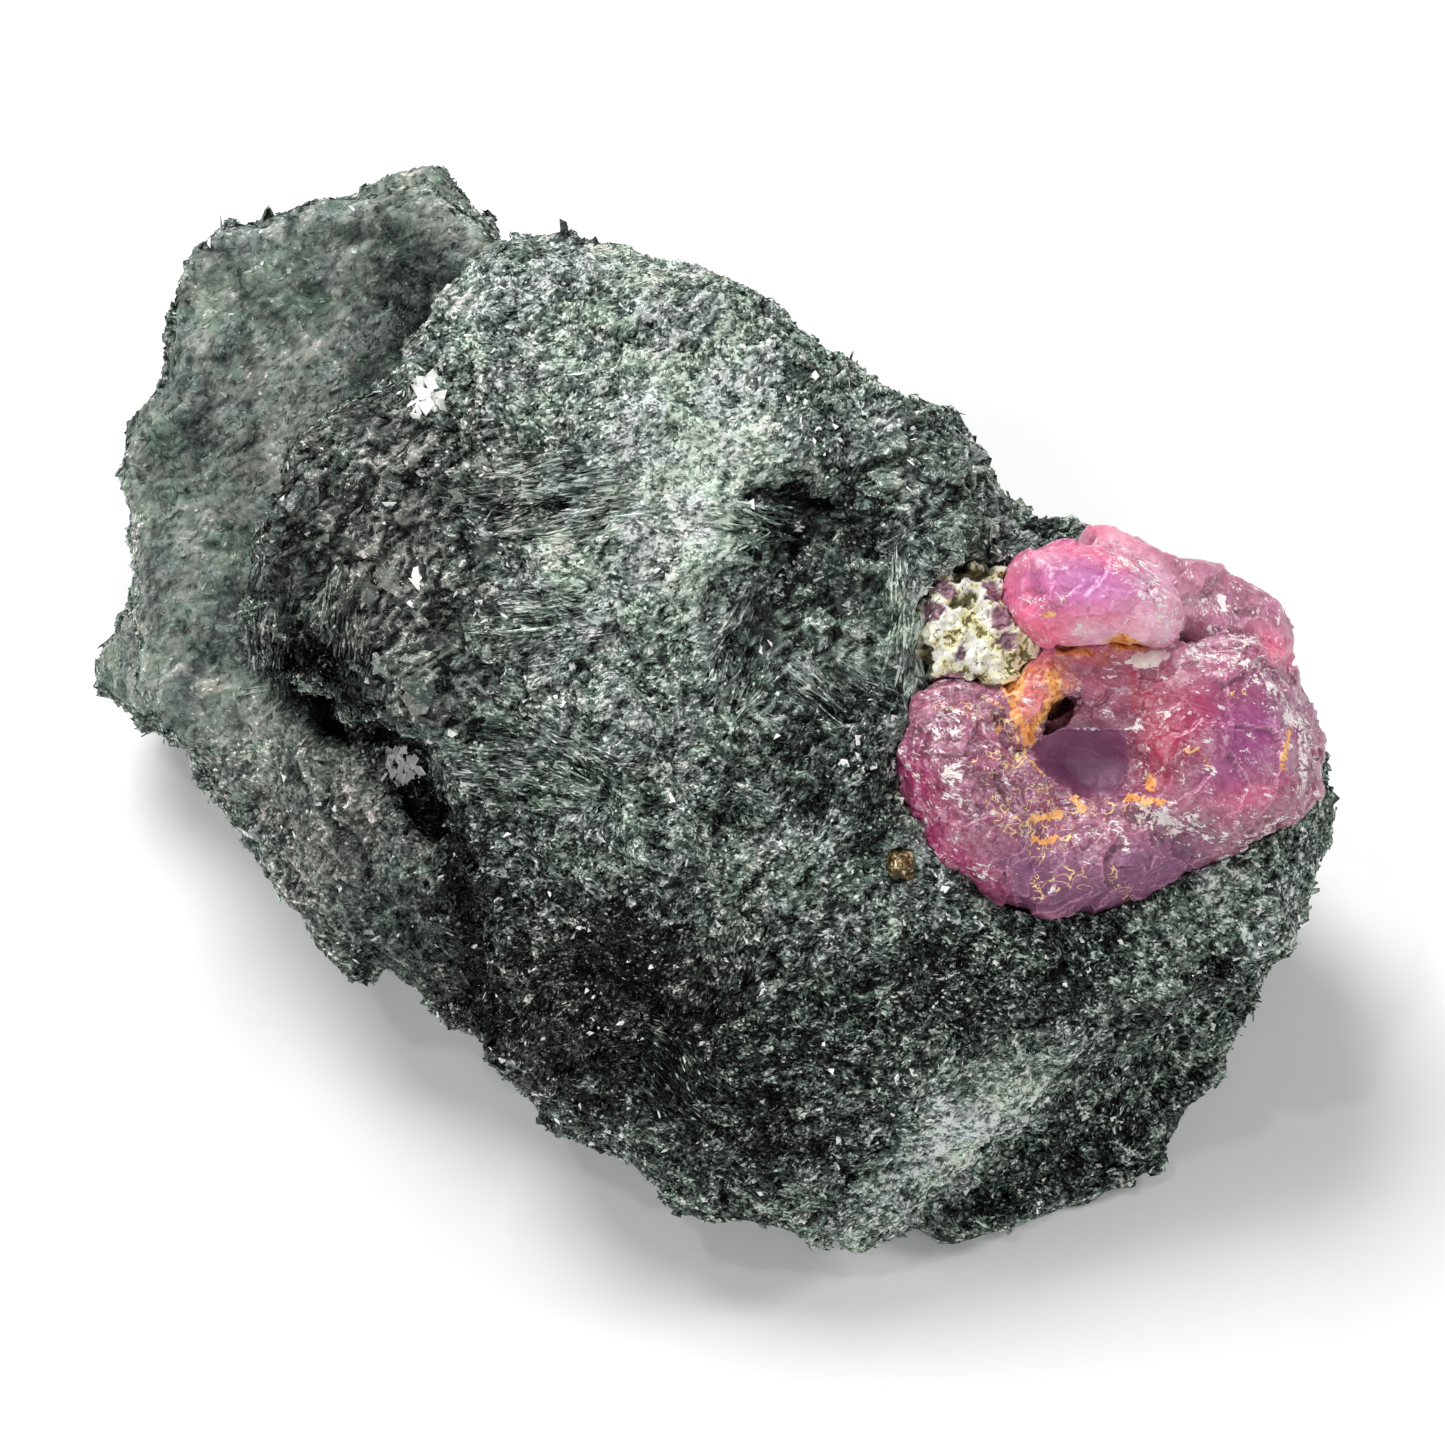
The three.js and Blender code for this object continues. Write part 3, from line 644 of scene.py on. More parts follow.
def rock_zones(places, normals):
    """What the rock is like at each place: its tone, and how calm, plated, warm and bare it is."""
    points = seen(places + 0.5 * smooth_noise(places, 2.5, 59)[:, None])
    lifted = normals[:, 2] + 0.25 * rough_noise(places, 2, 63)
    behind = ramp(-places[:, 2], 7.5, 10) * ramp(-places[:, 0], 9, 13) * ramp(places[:, 1], -3, 0)
    rear = ramp(lifted, 0, 0.7) * behind
    front = ramp(normals[:, 2], -0.15, 0.3) * ramp(places[:, 2], -17, -11) * (1 - behind)
    drift = rough_noise(places, 9, 61) + 0.5 * rough_noise(places, 3.6, 65)
    mottle = rough_noise(places, 2.4, 67)
    tone = front * blended_tone(points, FRONT_ROCK, FRONT_PLAIN)
    tone += rear * blended_tone(points, REAR_ROCK, REAR_PLAIN)
    tone += (1 - front - rear) * (0.46 + 0.38 * drift)
    tone += mottle * (0.13 + 0.22 * ramp(0.45 - tone, 0, 0.4))
    tone = 0.53 + 1.2 * (tone - 0.5)
    # Painted shade: the rock is darkened along each groove, where shade falls in it.
    for groove in GROOVES:
        along = stroke(points, groove["line"], 1.2 * groove["width"])
        tone += groove["shade"] * along * np.maximum(front, rear)
    still = np.maximum(rear, strongest(points, QUIET) * front)
    tone += 0.12 * still * streaks(points, places)
    plates = np.clip(strongest(points, PLATED) * 1.4 - 0.3, 0, 1) * front
    bare = strongest(points, BARE_FACES) * front
    bright = ramp(strongest(points, BRIGHT_SPOTS), 0.3, 0.7) * front
    flat_plates = (0.45 + 0.3 * (points[:, 0] < -12)) * plates
    warm = strongest(points, WARM) * front + 0.4 * rear + 0.5 * bare
    warm += 0.4 * drift * (1 - front) + 0.35 * mottle * front
    return {
        "pale": np.clip(tone, -0.3, 1),
        "calm": rear,
        "behind": behind,
        "quiet": np.max([0.74 * rear, 0.8 * bare, flat_plates, 0.6 * still], axis=0),
        "front": front,
        "plates": plates,
        "warm": np.clip(warm, 0, 1),
        "bare": bare,
        "bright": bright,
        "mirrors": ramp(strongest(points, MIRROR_SPOTS), 0.45, 0.6) * front,
    }


def rock_run(places, normals):
    """The way that crystals lie at each place, in the face's frame, and whether they lie in a bundle."""
    angle = 0.25 + 0.9 * smooth_noise(places, 7, 29) + 0.5 * smooth_noise(places, 2.5, 31)
    points = seen(places + 0.5 * smooth_noise(places, 1.5, 57)[:, None])
    bundled = np.zeros(len(places))
    for u, v, half_u, half_v, runs in BUNDLES:
        share = ramp(spot(points, (u, v), (half_u, half_v)), 0.4, 0.6) * (normals[:, 2] > 0)
        angle = angle * (1 - share) + math.radians(runs) * share
        bundled = np.maximum(bundled, share)
    way = np.stack([np.cos(angle), np.sin(angle), 0.3 * smooth_noise(places, 3, 33)], axis=1)
    along = way - (way * normals).sum(axis=1, keepdims=True) * normals
    return along / np.maximum(np.linalg.norm(along, axis=1, keepdims=True), 1e-6), bundled


def ledges(places, size, seed):
    """Stacked steps across the plated rock, from -0.5 to 0.5."""
    rise = (places @ np.array([0.85, -0.4, 0.35])) / size
    rise = rise + 0.8 * rough_noise(places, 3 * size, seed)
    return rise - np.floor(rise) - 0.5


def rock_relief(places, normals, zones, run):
    """The height of the rock's breaks, plates, blades and grooves over its smooth form, in mm."""
    dark = 1 - zones["pale"]
    side = np.cross(normals, run)
    along = (places * run).sum(axis=1)
    across = (places * side).sum(axis=1)
    out = (places * normals).sum(axis=1)
    blades = flat_breaks(np.stack([along / 3.4, across, out], axis=1), 0.8, 41, 0.3, 0.12)
    chips = flat_breaks(places, 2.8, 31, 0.26, 0.07)
    grains = flat_breaks(places, 1.2, 37, 0.26, 0.08)
    height = chips * (0.6 + 0.8 * dark) + grains * (0.5 + 0.7 * dark) + 0.5 * blades
    steps = 0.3 * ledges(places, 2.2, 43) + 0.55 * flat_breaks(places, 1.9, 47, 0.3, 0.08)
    height += zones["plates"] * steps
    height += 0.16 * rough_noise(places, 1.6, 71)
    height *= (1 - 0.4 * zones["calm"]) * (1 - 0.7 * zones["bare"])
    points = seen(places)
    shown = np.maximum(zones["front"], zones["calm"])
    for groove in GROOVES:
        height -= groove["depth"] * stroke(points, groove["line"], groove["width"]) * shown
    for u, v, half_u, half_v, turn, swell in SWELLS:
        height += swell * spot(points, (u, v), (half_u, half_v), turn)
    return height


# ------------------------------------------------------------------ settings


def length(name, default, description):
    return FloatProperty(name=name, default=default, min=0, unit="LENGTH", description=description)


def share(name, default, description):
    return FloatProperty(
        name=name, default=default, min=0, max=4, subtype="FACTOR", description=description
    )


def colour(name, default, description):
    return FloatVectorProperty(
        name=name, default=default, min=0, max=1, size=3, subtype="COLOR", description=description
    )


class SpecimenRock(bpy.types.PropertyGroup):
    """Sizes and colours of the amphibole rock."""

    grid: length("Grid", 0.41 * MM, "Spacing of the rock's own surface points")
    relief: share("Relief", 1.0, "Height of the breaks, ledges and grooves")
    black: colour("Black", (0.003, 0.003, 0.0028), "Darkest amphibole")
    green: colour("Dark green", (0.030, 0.041, 0.037), "Dark green amphibole")
    mint: colour("Pale green", (0.197, 0.246, 0.212), "Pale green fibres")
    cream: colour("Cream", (0.80, 0.84, 0.79), "Bleached fibre ends and flakes")
    fibres: share("Fibres", 1.0, "How thickly the pale fibres and striated blades grow")
    blades: share("Blades", 1.0, "How thickly the black blades and plates grow")
    grains: share("Grains", 1.0, "How thickly the small grains sit")
    flakes: share("Flakes", 1.0, "How many bright flakes there are")
    seed: IntProperty(name="Seed", default=4, description="Seed of the crystals' places")


class SpecimenRuby(bpy.types.PropertyGroup):
    """Sizes and colours of the ruby cluster."""

    grid: length("Grid", 0.15 * MM, "Spacing of the crystals' surface points")
    rose: colour("Rose", (0.37, 0.12, 0.20), "Body of the large crystal")
    loaf: colour("Loaf", (0.66, 0.15, 0.34), "Body of the upper crystal")
    lump: colour("Lump", (0.50, 0.19, 0.29), "Body of the lumps behind")
    crimson: colour("Crimson", (0.44, 0.035, 0.09), "Red cores")
    violet: colour("Violet", (0.40, 0.08, 0.28), "Violet cores")
    lilac: colour("Lilac", (0.66, 0.24, 0.56), "Lilac core of the upper crystal")
    # Partly the stone's own pink and partly painted glow, where light comes through thin edges.
    pink: colour("Pink", (1.0, 0.20, 0.34), "Bright pink edges")
    # Painted glow: a pale pink put where light comes through the stone.
    petal: colour("Petal", (1.0, 0.60, 0.72), "Pale pink glow where light comes through")
    salmon: colour("Salmon", (0.76, 0.25, 0.08), "Stained stone between the crystals")
    magenta: colour("Magenta", (0.46, 0.04, 0.17), "Deep pink lower edge")
    # Plum is also painted into the dark pit as shade.
    plum: colour("Plum", (0.23, 0.065, 0.17), "Deep smooth hollow and low faces")
    blush: colour("Blush", (0.80, 0.46, 0.60), "Pale broken faces")
    # Frost is also painted along the cracks as highlight on their broken edges.
    frost: colour("Frost", (1.0, 0.88, 0.86), "Bruised skin and white veins")
    stain: colour("Stain", (0.95, 0.32, 0.03), "Iron stain in the cracks")
    amber: colour("Amber", (1.0, 0.70, 0.38), "Golden veins")


class SpecimenMica(bpy.types.PropertyGroup):
    """Sizes and colours of the mica patch and the brown grain."""

    grid: length("Grid", 0.14 * MM, "Spacing of the patch's surface points")
    pearl: colour("Pearl", (0.98, 0.93, 0.56), "Mica flakes")
    snow: colour("Snow", (1.0, 1.0, 0.90), "Whitest flakes")
    straw: colour("Straw", (0.60, 0.50, 0.17), "Stained mica")
    brown: colour("Brown", (0.07, 0.042, 0.010), "Glassy brown grain")
    honey: colour("Honey", (0.26, 0.17, 0.05), "Lighter clouds in the brown grain")


class SpecimenStage(bpy.types.PropertyGroup):
    """The floor, the light and the camera."""

    floor: colour("Floor", (0.93, 0.93, 0.93), "Plain pale floor")
    sky: share("Sky", 0.24, "Strength of the soft light from all round")
    key: FloatProperty(name="Key", default=6.7, min=0, unit="POWER", description="Power of the main lamp")


# ------------------------------------------------------------------ rock finishes


def vein(made, size, width, warp, detail=2):
    """Curling threads: 1 along them."""
    off = made.sum("ABSOLUTE", made.less(made.wave(size, detail, 0.6, warp), 0.5))
    return made.stretch(off, width, 0.3 * width)


def between(one, other):
    """The colour midway between two, by ratio."""
    return tuple(math.sqrt(a * b) for a, b in zip(one, other))


def rock_ramp(settings):
    steps = [tuple(getattr(settings, name)) for name in ("black", "green", "mint", "cream")]
    stops = []
    for place, one, other in zip((0, 0.38, 0.74), steps, steps[1:]):
        stops += [(place, one), (place + 0.19, between(one, other))]
    return [*stops, (1, steps[-1])]


def blade_cells(made):
    """Three numbers of each bundle, of each stubby blade in it and of each chip."""
    bundle = made.cells(1.3)
    draw = made.draws(bundle)
    local = made.vector("SUBTRACT", made.place, bundle.outputs["Position"])
    run = made.add("ShaderNodeAttribute", {"attribute_name": "run"}).outputs["Vector"]
    way = made.vector("NORMALIZE", made.vector("ADD", made.scaled(draw, 1.5), run))
    length = made.times_plus(made.attribute("bundled"), 0.38, 0.48)
    drawn_out = made.scaled(way, made.times(made.dot(local, way), length))
    drawn_in = made.vector("SUBTRACT", local, drawn_out)
    moved = made.vector("ADD", made.scaled(draw, 9 * MM), drawn_in)
    return draw, made.draws(made.cells(0.13, place=moved)), made.draws(made.cells(0.34, place=moved))


def broad_level(made, draw, patchy, plates, loud):
    """How the tone differs from bundle to bundle, with dark pockets."""
    mid = made.times(made.dot(draw, (1, 0, 0)), made.times_plus(plates, 0.2, 0.22))
    mid = made.times_plus(made.less(patchy, 0.51), made.times_plus(plates, -0.5, 1.35), mid)
    mid = made.times(mid, made.times_plus(loud, 0.6, 0.4))
    pocket = made.stretch(made.wave(2.6, 3, 0.62), 0.44, 0.36, 0, -0.3)
    return made.plus(mid, made.times(pocket, loud))


def amphibole_level(made, draw, own, chip, loud, swing):
    """How light each blade is, on the scale of the rock's ramp."""
    patchy = made.wave(1.0, 3, 0.65)
    pale, plates = made.attribute("pale"), made.attribute("plates")
    fine = made.plus(made.dot(own, (0.84, 0, 0)), made.dot(chip, (0.42, 0, 0)))
    fine = made.times(fine, loud)
    reach = made.stretch(pale, 0.2, 0.8, 1.3, 0.62)
    reach = made.times(reach, made.times_plus(plates, -0.3, 1))
    broad = broad_level(made, draw, patchy, plates, loud)
    level = made.times_plus(made.plus(fine, broad), reach, pale)
    if swing:
        level = made.times_plus(made.less(made.attribute("tone"), 0.5), swing, level)
    thread = made.times(vein(made, 1.1, 0.022, 1.6), made.stretch(patchy, 0.46, 0.54))
    level = made.times_plus(made.times(thread, plates), 0.42, level)
    # Painted glints: a few blades are painted much lighter, standing in for reflections of the lamps.
    painted_glint = made.times(made.stretch(made.dot(own, (0, 1, 0)), 0.44, 0.45), loud)
    return made.times_plus(painted_glint, 0.42, level)


def amphibole_cast(made, draw):
    """A cool or a brownish cast over the rock's colours."""
    cool = made.mix(made.stretch(made.wave(3.2, 2), 0.42, 0.6), (0.94, 1.03, 0.95), (0.98, 1.0, 1.04))
    hue = made.sum("ADD", made.attribute("warm"), made.dot(draw, (0, 0, 0.8)), clamp=True)
    return made.mix(hue, cool, (1.12, 0.95, 0.97))


def amphibole(name, settings, swing, rough, gloss):
    """Amphibole, from black to pale: bundles of stubby blades, each with a tone and a tilt of its own.

    swing is how far a crystal's own draw moves its tone, rough the roughness of dark and pale rock,
    and gloss the strength of its reflections.
    """
    made = Shading(name)
    draw, own, chip = blade_cells(made)
    loud = made.less(1, made.attribute("quiet"))
    level = amphibole_level(made, draw, own, chip, loud, swing)
    shade = made.ramp(level, rock_ramp(settings))
    lean = made.scaled(own, made.times_plus(loud, 0.45, 0.25))
    return made.finish(
        {
            "Base Color": made.mix(1.0, shade, amphibole_cast(made, draw), "MULTIPLY"),
            "Roughness": made.stretch(level, 0.2, 0.8, *rough),
            "Normal": made.leaning(lean, made.scaled(chip, 0.4), made.scaled(draw, 0.35)),
            "IOR": AMPHIBOLE_IOR,
            "Specular IOR Level": gloss,
        }
    )


def flake_finish():
    made = Shading("bright_mica")
    shade = made.ramp(made.attribute("tone"), [(0, (0.6, 0.61, 0.58)), (0.4, (1, 1, 0.97))])
    sheen = made.wave(0.3, 2)
    normal = made.bump(sheen, 0.06)
    rough = made.stretch(sheen, 0.3, 0.7, 0.15, 0.4)
    return made.finish({"Base Color": shade, "Roughness": rough, "Normal": normal})


def rock_finishes(settings):
    crystal = amphibole("amphibole_crystals", settings, 0.3, (0.2, 0.45), 0.14)
    glossy = amphibole("hornblende", settings, 0.2, (0.1, 0.3), 0.3)
    return {"fibres": crystal, "grains": crystal, "blades": glossy, "flakes": flake_finish()}


# ------------------------------------------------------------------ crystal shapes


def prism_mesh(name, section, low_cut, high_cut):
    """A closed prism one unit long, with a flat section (y, z) and slanted ends."""
    mesh = bpy.data.meshes.new(name)
    count = len(section)
    points = [(-0.5 + low_cut * y, y, z) for y, z in section]
    points += [(0.5 + high_cut * y, y, z) for y, z in section]
    faces = [(i, i + count, (i + 1) % count + count, (i + 1) % count) for i in range(count)]
    faces += [tuple(range(count)), tuple(reversed(range(count, 2 * count)))]
    mesh.from_pydata(points, [], faces)
    work = bmesh.new()
    work.from_mesh(mesh)
    bmesh.ops.recalc_face_normals(work, faces=work.faces)
    work.to_mesh(mesh)
    work.free()
    return mesh


SECTIONS = {
    "needle": [(-0.5, -0.45), (0.5, -0.35), (0.05, 0.5)],
    "blade": [(-0.5, -0.5), (0.4, -0.5), (0.5, 0.28), (-0.3, 0.5)],
    "block": [(-0.5, -0.6), (0.5, -0.6), (0.5, 0.1), (0.08, 0.16), (0.02, 0.5), (-0.5, 0.42)],
    "flake": [(-0.5, -0.3), (0.5, -0.5), (0.42, 0.35), (-0.4, 0.5)],
}
CUTS = [(0.0, 0.15), (0.45, -0.3), (-0.35, 0.5), (0.2, 0.6)]


def shape_collection(kind):
    """A hidden collection with the variants of one crystal shape."""
    made = bpy.data.collections.new(kind + "_shapes")
    for n, (low_cut, high_cut) in enumerate(CUTS):
        name = f"{kind}_shape_{n}"
        prism = prism_mesh(name, SECTIONS[kind], low_cut, high_cut)
        made.objects.link(bpy.data.objects.new(name, prism))
    return made


# ------------------------------------------------------------------ growing crystals on a surface

# The inputs of the growing tree: name, socket type and default.
GROWTH_INPUTS = [
    ("Surface", "NodeSocketGeometry", None),
    ("Shapes", "NodeSocketCollection", None),
    ("Where", "NodeSocketString", "fibres"),
    ("Most", "NodeSocketFloat", 1e6),
    ("Shortest", "NodeSocketFloat", 0.4 * MM),
    ("Longest", "NodeSocketFloat", 1.2 * MM),
    ("Narrowest", "NodeSocketFloat", 0.1 * MM),
    ("Widest", "NodeSocketFloat", 0.2 * MM),
    ("Thinnest", "NodeSocketFloat", 0.08 * MM),
    ("Thickest", "NodeSocketFloat", 0.16 * MM),
    ("Roll", "NodeSocketFloat", 0.6),
    ("Tilt", "NodeSocketFloat", 0.3),
    ("Spread", "NodeSocketFloat", 0.6),
    ("Sink", "NodeSocketFloat", 0.0),
    ("Seed", "NodeSocketInt", 0),
    ("Finish", "NodeSocketMaterial", None),
]


def growth_tree():
    """Grows crystals on a surface: as thick as an attribute says, lying the way that "run" says."""
    tree = bpy.data.node_groups.new("grow_crystals", "GeometryNodeTree")
    for name, kind, default in GROWTH_INPUTS:
        socket = tree.interface.new_socket(name, in_out="INPUT", socket_type=kind)
        if default is not None:
            socket.default_value = default
    tree.interface.new_socket("Crystals", in_out="OUTPUT", socket_type="NodeSocketGeometry")
    given = tree.nodes.new("NodeGroupInput").outputs

    def add(kind, settings=None, sockets=None):
        made = tree.nodes.new(kind)
        for key, value in (settings or {}).items():
            setattr(made, key, value)
        for key, value in (sockets or {}).items():
            if isinstance(value, bpy.types.NodeSocket):
                tree.links.new(value, made.inputs[key])
            else:
                made.inputs[key].default_value = value
        return made

    def draw(low, high, offset):
        """A random number for each crystal, between two inputs."""
        seed = add("ShaderNodeMath", {"operation": "ADD"}, {0: given["Seed"], 1: offset})
        sockets = {2: low, 3: high, "Seed": seed.outputs[0]}
        return add("FunctionNodeRandomValue", {"data_type": "FLOAT"}, sockets).outputs[1]

    def both_ways(angle, offset):
        negative = add("ShaderNodeMath", {"operation": "MULTIPLY"}, {0: angle, 1: -1.0})
        return draw(negative.outputs[0], angle, offset)

    thick = add("GeometryNodeInputNamedAttribute", {"data_type": "FLOAT"}, {"Name": given["Where"]})
    density = add("ShaderNodeMath", {"operation": "MULTIPLY"}, {0: given["Most"], 1: thick.outputs[0]})
    points = add(
        "GeometryNodeDistributePointsOnFaces",
        {"distribute_method": "RANDOM"},
        {"Mesh": given["Surface"], "Density": density.outputs[0], "Seed": given["Seed"]},
    )
    down = add("ShaderNodeMath", {"operation": "MULTIPLY"}, {0: given["Sink"], 1: -1.0})
    offset = add(
        "ShaderNodeVectorMath",
        {"operation": "SCALE"},
        {0: points.outputs["Normal"], "Scale": down.outputs[0]},
    )
    sunk = add(
        "GeometryNodeSetPosition",
        sockets={"Geometry": points.outputs["Points"], "Offset": offset.outputs[0]},
    )
    run = add("GeometryNodeInputNamedAttribute", {"data_type": "FLOAT_VECTOR"}, {"Name": "run"})
    laid = add(
        "FunctionNodeAlignRotationToVector",
        {"axis": "X", "pivot_axis": "Z"},
        {"Rotation": points.outputs["Rotation"], "Vector": run.outputs[0]},
    )
    lean = add(
        "ShaderNodeCombineXYZ",
        sockets={
            0: both_ways(given["Roll"], 1),
            1: both_ways(given["Tilt"], 2),
            2: both_ways(given["Spread"], 3),
        },
    )
    lean = add("FunctionNodeEulerToRotation", sockets={0: lean.outputs[0]})
    sockets = {"Rotation": laid.outputs[0], "Rotate By": lean.outputs[0]}
    turned_on = add("FunctionNodeRotateRotation", {"rotation_space": "LOCAL"}, sockets)
    size = add(
        "ShaderNodeCombineXYZ",
        sockets={
            0: draw(given["Shortest"], given["Longest"], 4),
            1: draw(given["Narrowest"], given["Widest"], 5),
            2: draw(given["Thinnest"], given["Thickest"], 6),
        },
    )
    settings = {"transform_space": "ORIGINAL"}
    sockets = {"Collection": given["Shapes"], "Separate Children": True, "Reset Children": True}
    shapes = add("GeometryNodeCollectionInfo", settings, sockets)
    which = add("FunctionNodeRandomValue", {"data_type": "INT"}, {4: 0, 5: len(CUTS) - 1, "Seed": 7})
    crystals = add(
        "GeometryNodeInstanceOnPoints",
        sockets={
            "Points": sunk.outputs[0],
            "Instance": shapes.outputs[0],
            "Pick Instance": True,
            "Instance Index": which.outputs[2],
            "Rotation": turned_on.outputs[0],
            "Scale": size.outputs[0],
        },
    )
    toned = add(
        "GeometryNodeStoreNamedAttribute",
        {"data_type": "FLOAT", "domain": "INSTANCE"},
        {"Geometry": crystals.outputs[0], "Name": "tone", "Value": draw(0.0, 1.0, 8)},
    )
    real = add("GeometryNodeRealizeInstances", sockets={0: toned.outputs[0]})
    sockets = {"Geometry": real.outputs[0], "Material": given["Finish"]}
    dressed = add("GeometryNodeSetMaterial", sockets=sockets)
    tree.nodes.new("NodeGroupOutput")
    tree.links.new(dressed.outputs[0], tree.nodes[-1].inputs[0])
    return tree


def grown(name, surface, tree, values):
    """The crystals that a tree grows on a surface, as a plain piece."""
    made = object_of(surface.data.copy(), name)
    modifier = made.modifiers.new("grow", "NODES")
    modifier.node_group = tree
    keys = {item.name: item.identifier for item in tree.interface.items_tree if item.in_out == "INPUT"}
    for key, value in values.items():
        modifier[keys[key]] = value
    made = baked(made)
    for leftover in [a.name for a in made.data.attributes if a.name in LAYERS]:
        made.data.attributes.remove(made.data.attributes[leftover])
    return made


# Each growth: its piece, its shape, how many to a square millimetre at most, its sizes and its leans.
GROWTHS = {
    "fibres": {
        "piece": "pale_fibres",
        "shape": "needle", "finish": "fibres", "most": 4, "long": (0.25, 0.6),
        "wide": (0.07, 0.14), "thick": (0.07, 0.13), "roll": 60, "tilt": 10, "spread": 90, "sink": 0.01,
    },
    "side_fibres": {
        "piece": "side_fibres",
        "shape": "needle", "finish": "fibres", "most": 3, "long": (0.5, 1.5),
        "wide": (0.09, 0.16), "thick": (0.08, 0.14), "roll": 60, "tilt": 14, "spread": 60, "sink": 0.02,
    },
    "grains": {
        "piece": "show_grains",
        "shape": "blade", "finish": "grains", "most": 4, "long": (0.26, 0.5),
        "wide": (0.18, 0.34), "thick": (0.15, 0.3), "roll": 180, "tilt": 28, "spread": 180, "sink": 0.08,
    },
    "side_grains": {
        "piece": "side_grains",
        "shape": "blade", "finish": "grains", "most": 1.7, "long": (0.35, 1.0),
        "wide": (0.3, 0.7), "thick": (0.25, 0.6), "roll": 180, "tilt": 26, "spread": 180, "sink": 0.2,
    },
    "streaks": {
        "piece": "striated_blades",
        "shape": "blade", "finish": "fibres", "most": 8, "long": (0.8, 2.4),
        "wide": (0.07, 0.16), "thick": (0.07, 0.16), "roll": 30, "tilt": 5, "spread": 7, "sink": 0.0,
    },
    "blades": {
        "piece": "hornblende_blades",
        "shape": "blade", "finish": "blades", "most": 3, "long": (0.4, 1.4),
        "wide": (0.12, 0.34), "thick": (0.1, 0.26), "roll": 45, "tilt": 12, "spread": 60, "sink": 0.06,
    },
    "plates_cut": {
        "piece": "hornblende_plates",
        "shape": "block", "finish": "blades", "most": 0.8, "long": (0.7, 1.9),
        "wide": (0.6, 1.3), "thick": (0.25, 0.6), "roll": 14, "tilt": 12, "spread": 60, "sink": 0.08,
    },
    "flakes": {
        "piece": "bright_flakes",
        "shape": "flake", "finish": "flakes", "most": 12, "long": (0.2, 0.6),
        "wide": (0.15, 0.45), "thick": (0.03, 0.08), "roll": 40, "tilt": 40, "spread": 180, "sink": 0.0,
    },
    "mirrors": {
        "piece": "mica_flakes",
        "shape": "flake", "finish": "flakes", "most": 5, "long": (0.4, 0.9),
        "wide": (0.3, 0.65), "thick": (0.06, 0.12), "roll": 34, "tilt": 34, "spread": 180, "sink": -0.12,
    },
    "fine_grains": {
        "piece": "fine_grains", "where": "grains",
        "shape": "blade", "finish": "grains", "most": 4, "long": (0.2, 0.42),
        "wide": (0.14, 0.28), "thick": (0.12, 0.24), "roll": 180, "tilt": 28, "spread": 180, "sink": 0.07,
    },
}
# The surface's numbers that only place the crystals.
LAYERS = {growth.get("where", kind) for kind, growth in GROWTHS.items()}
# The growing tree's inputs for each span of sizes.
SPANS = {
    "long": ("Shortest", "Longest"),
    "wide": ("Narrowest", "Widest"),
    "thick": ("Thinnest", "Thickest"),
}


# ------------------------------------------------------------------ operators


def settings_of(context):
    scene = context.scene
    return scene.specimen_rock, scene.specimen_ruby, scene.specimen_mica, scene.specimen_stage


CRYSTAL_PIECES = ("ruby_large", "ruby_loaf", "ruby_lumps", "mica_crust", "brown_glass")


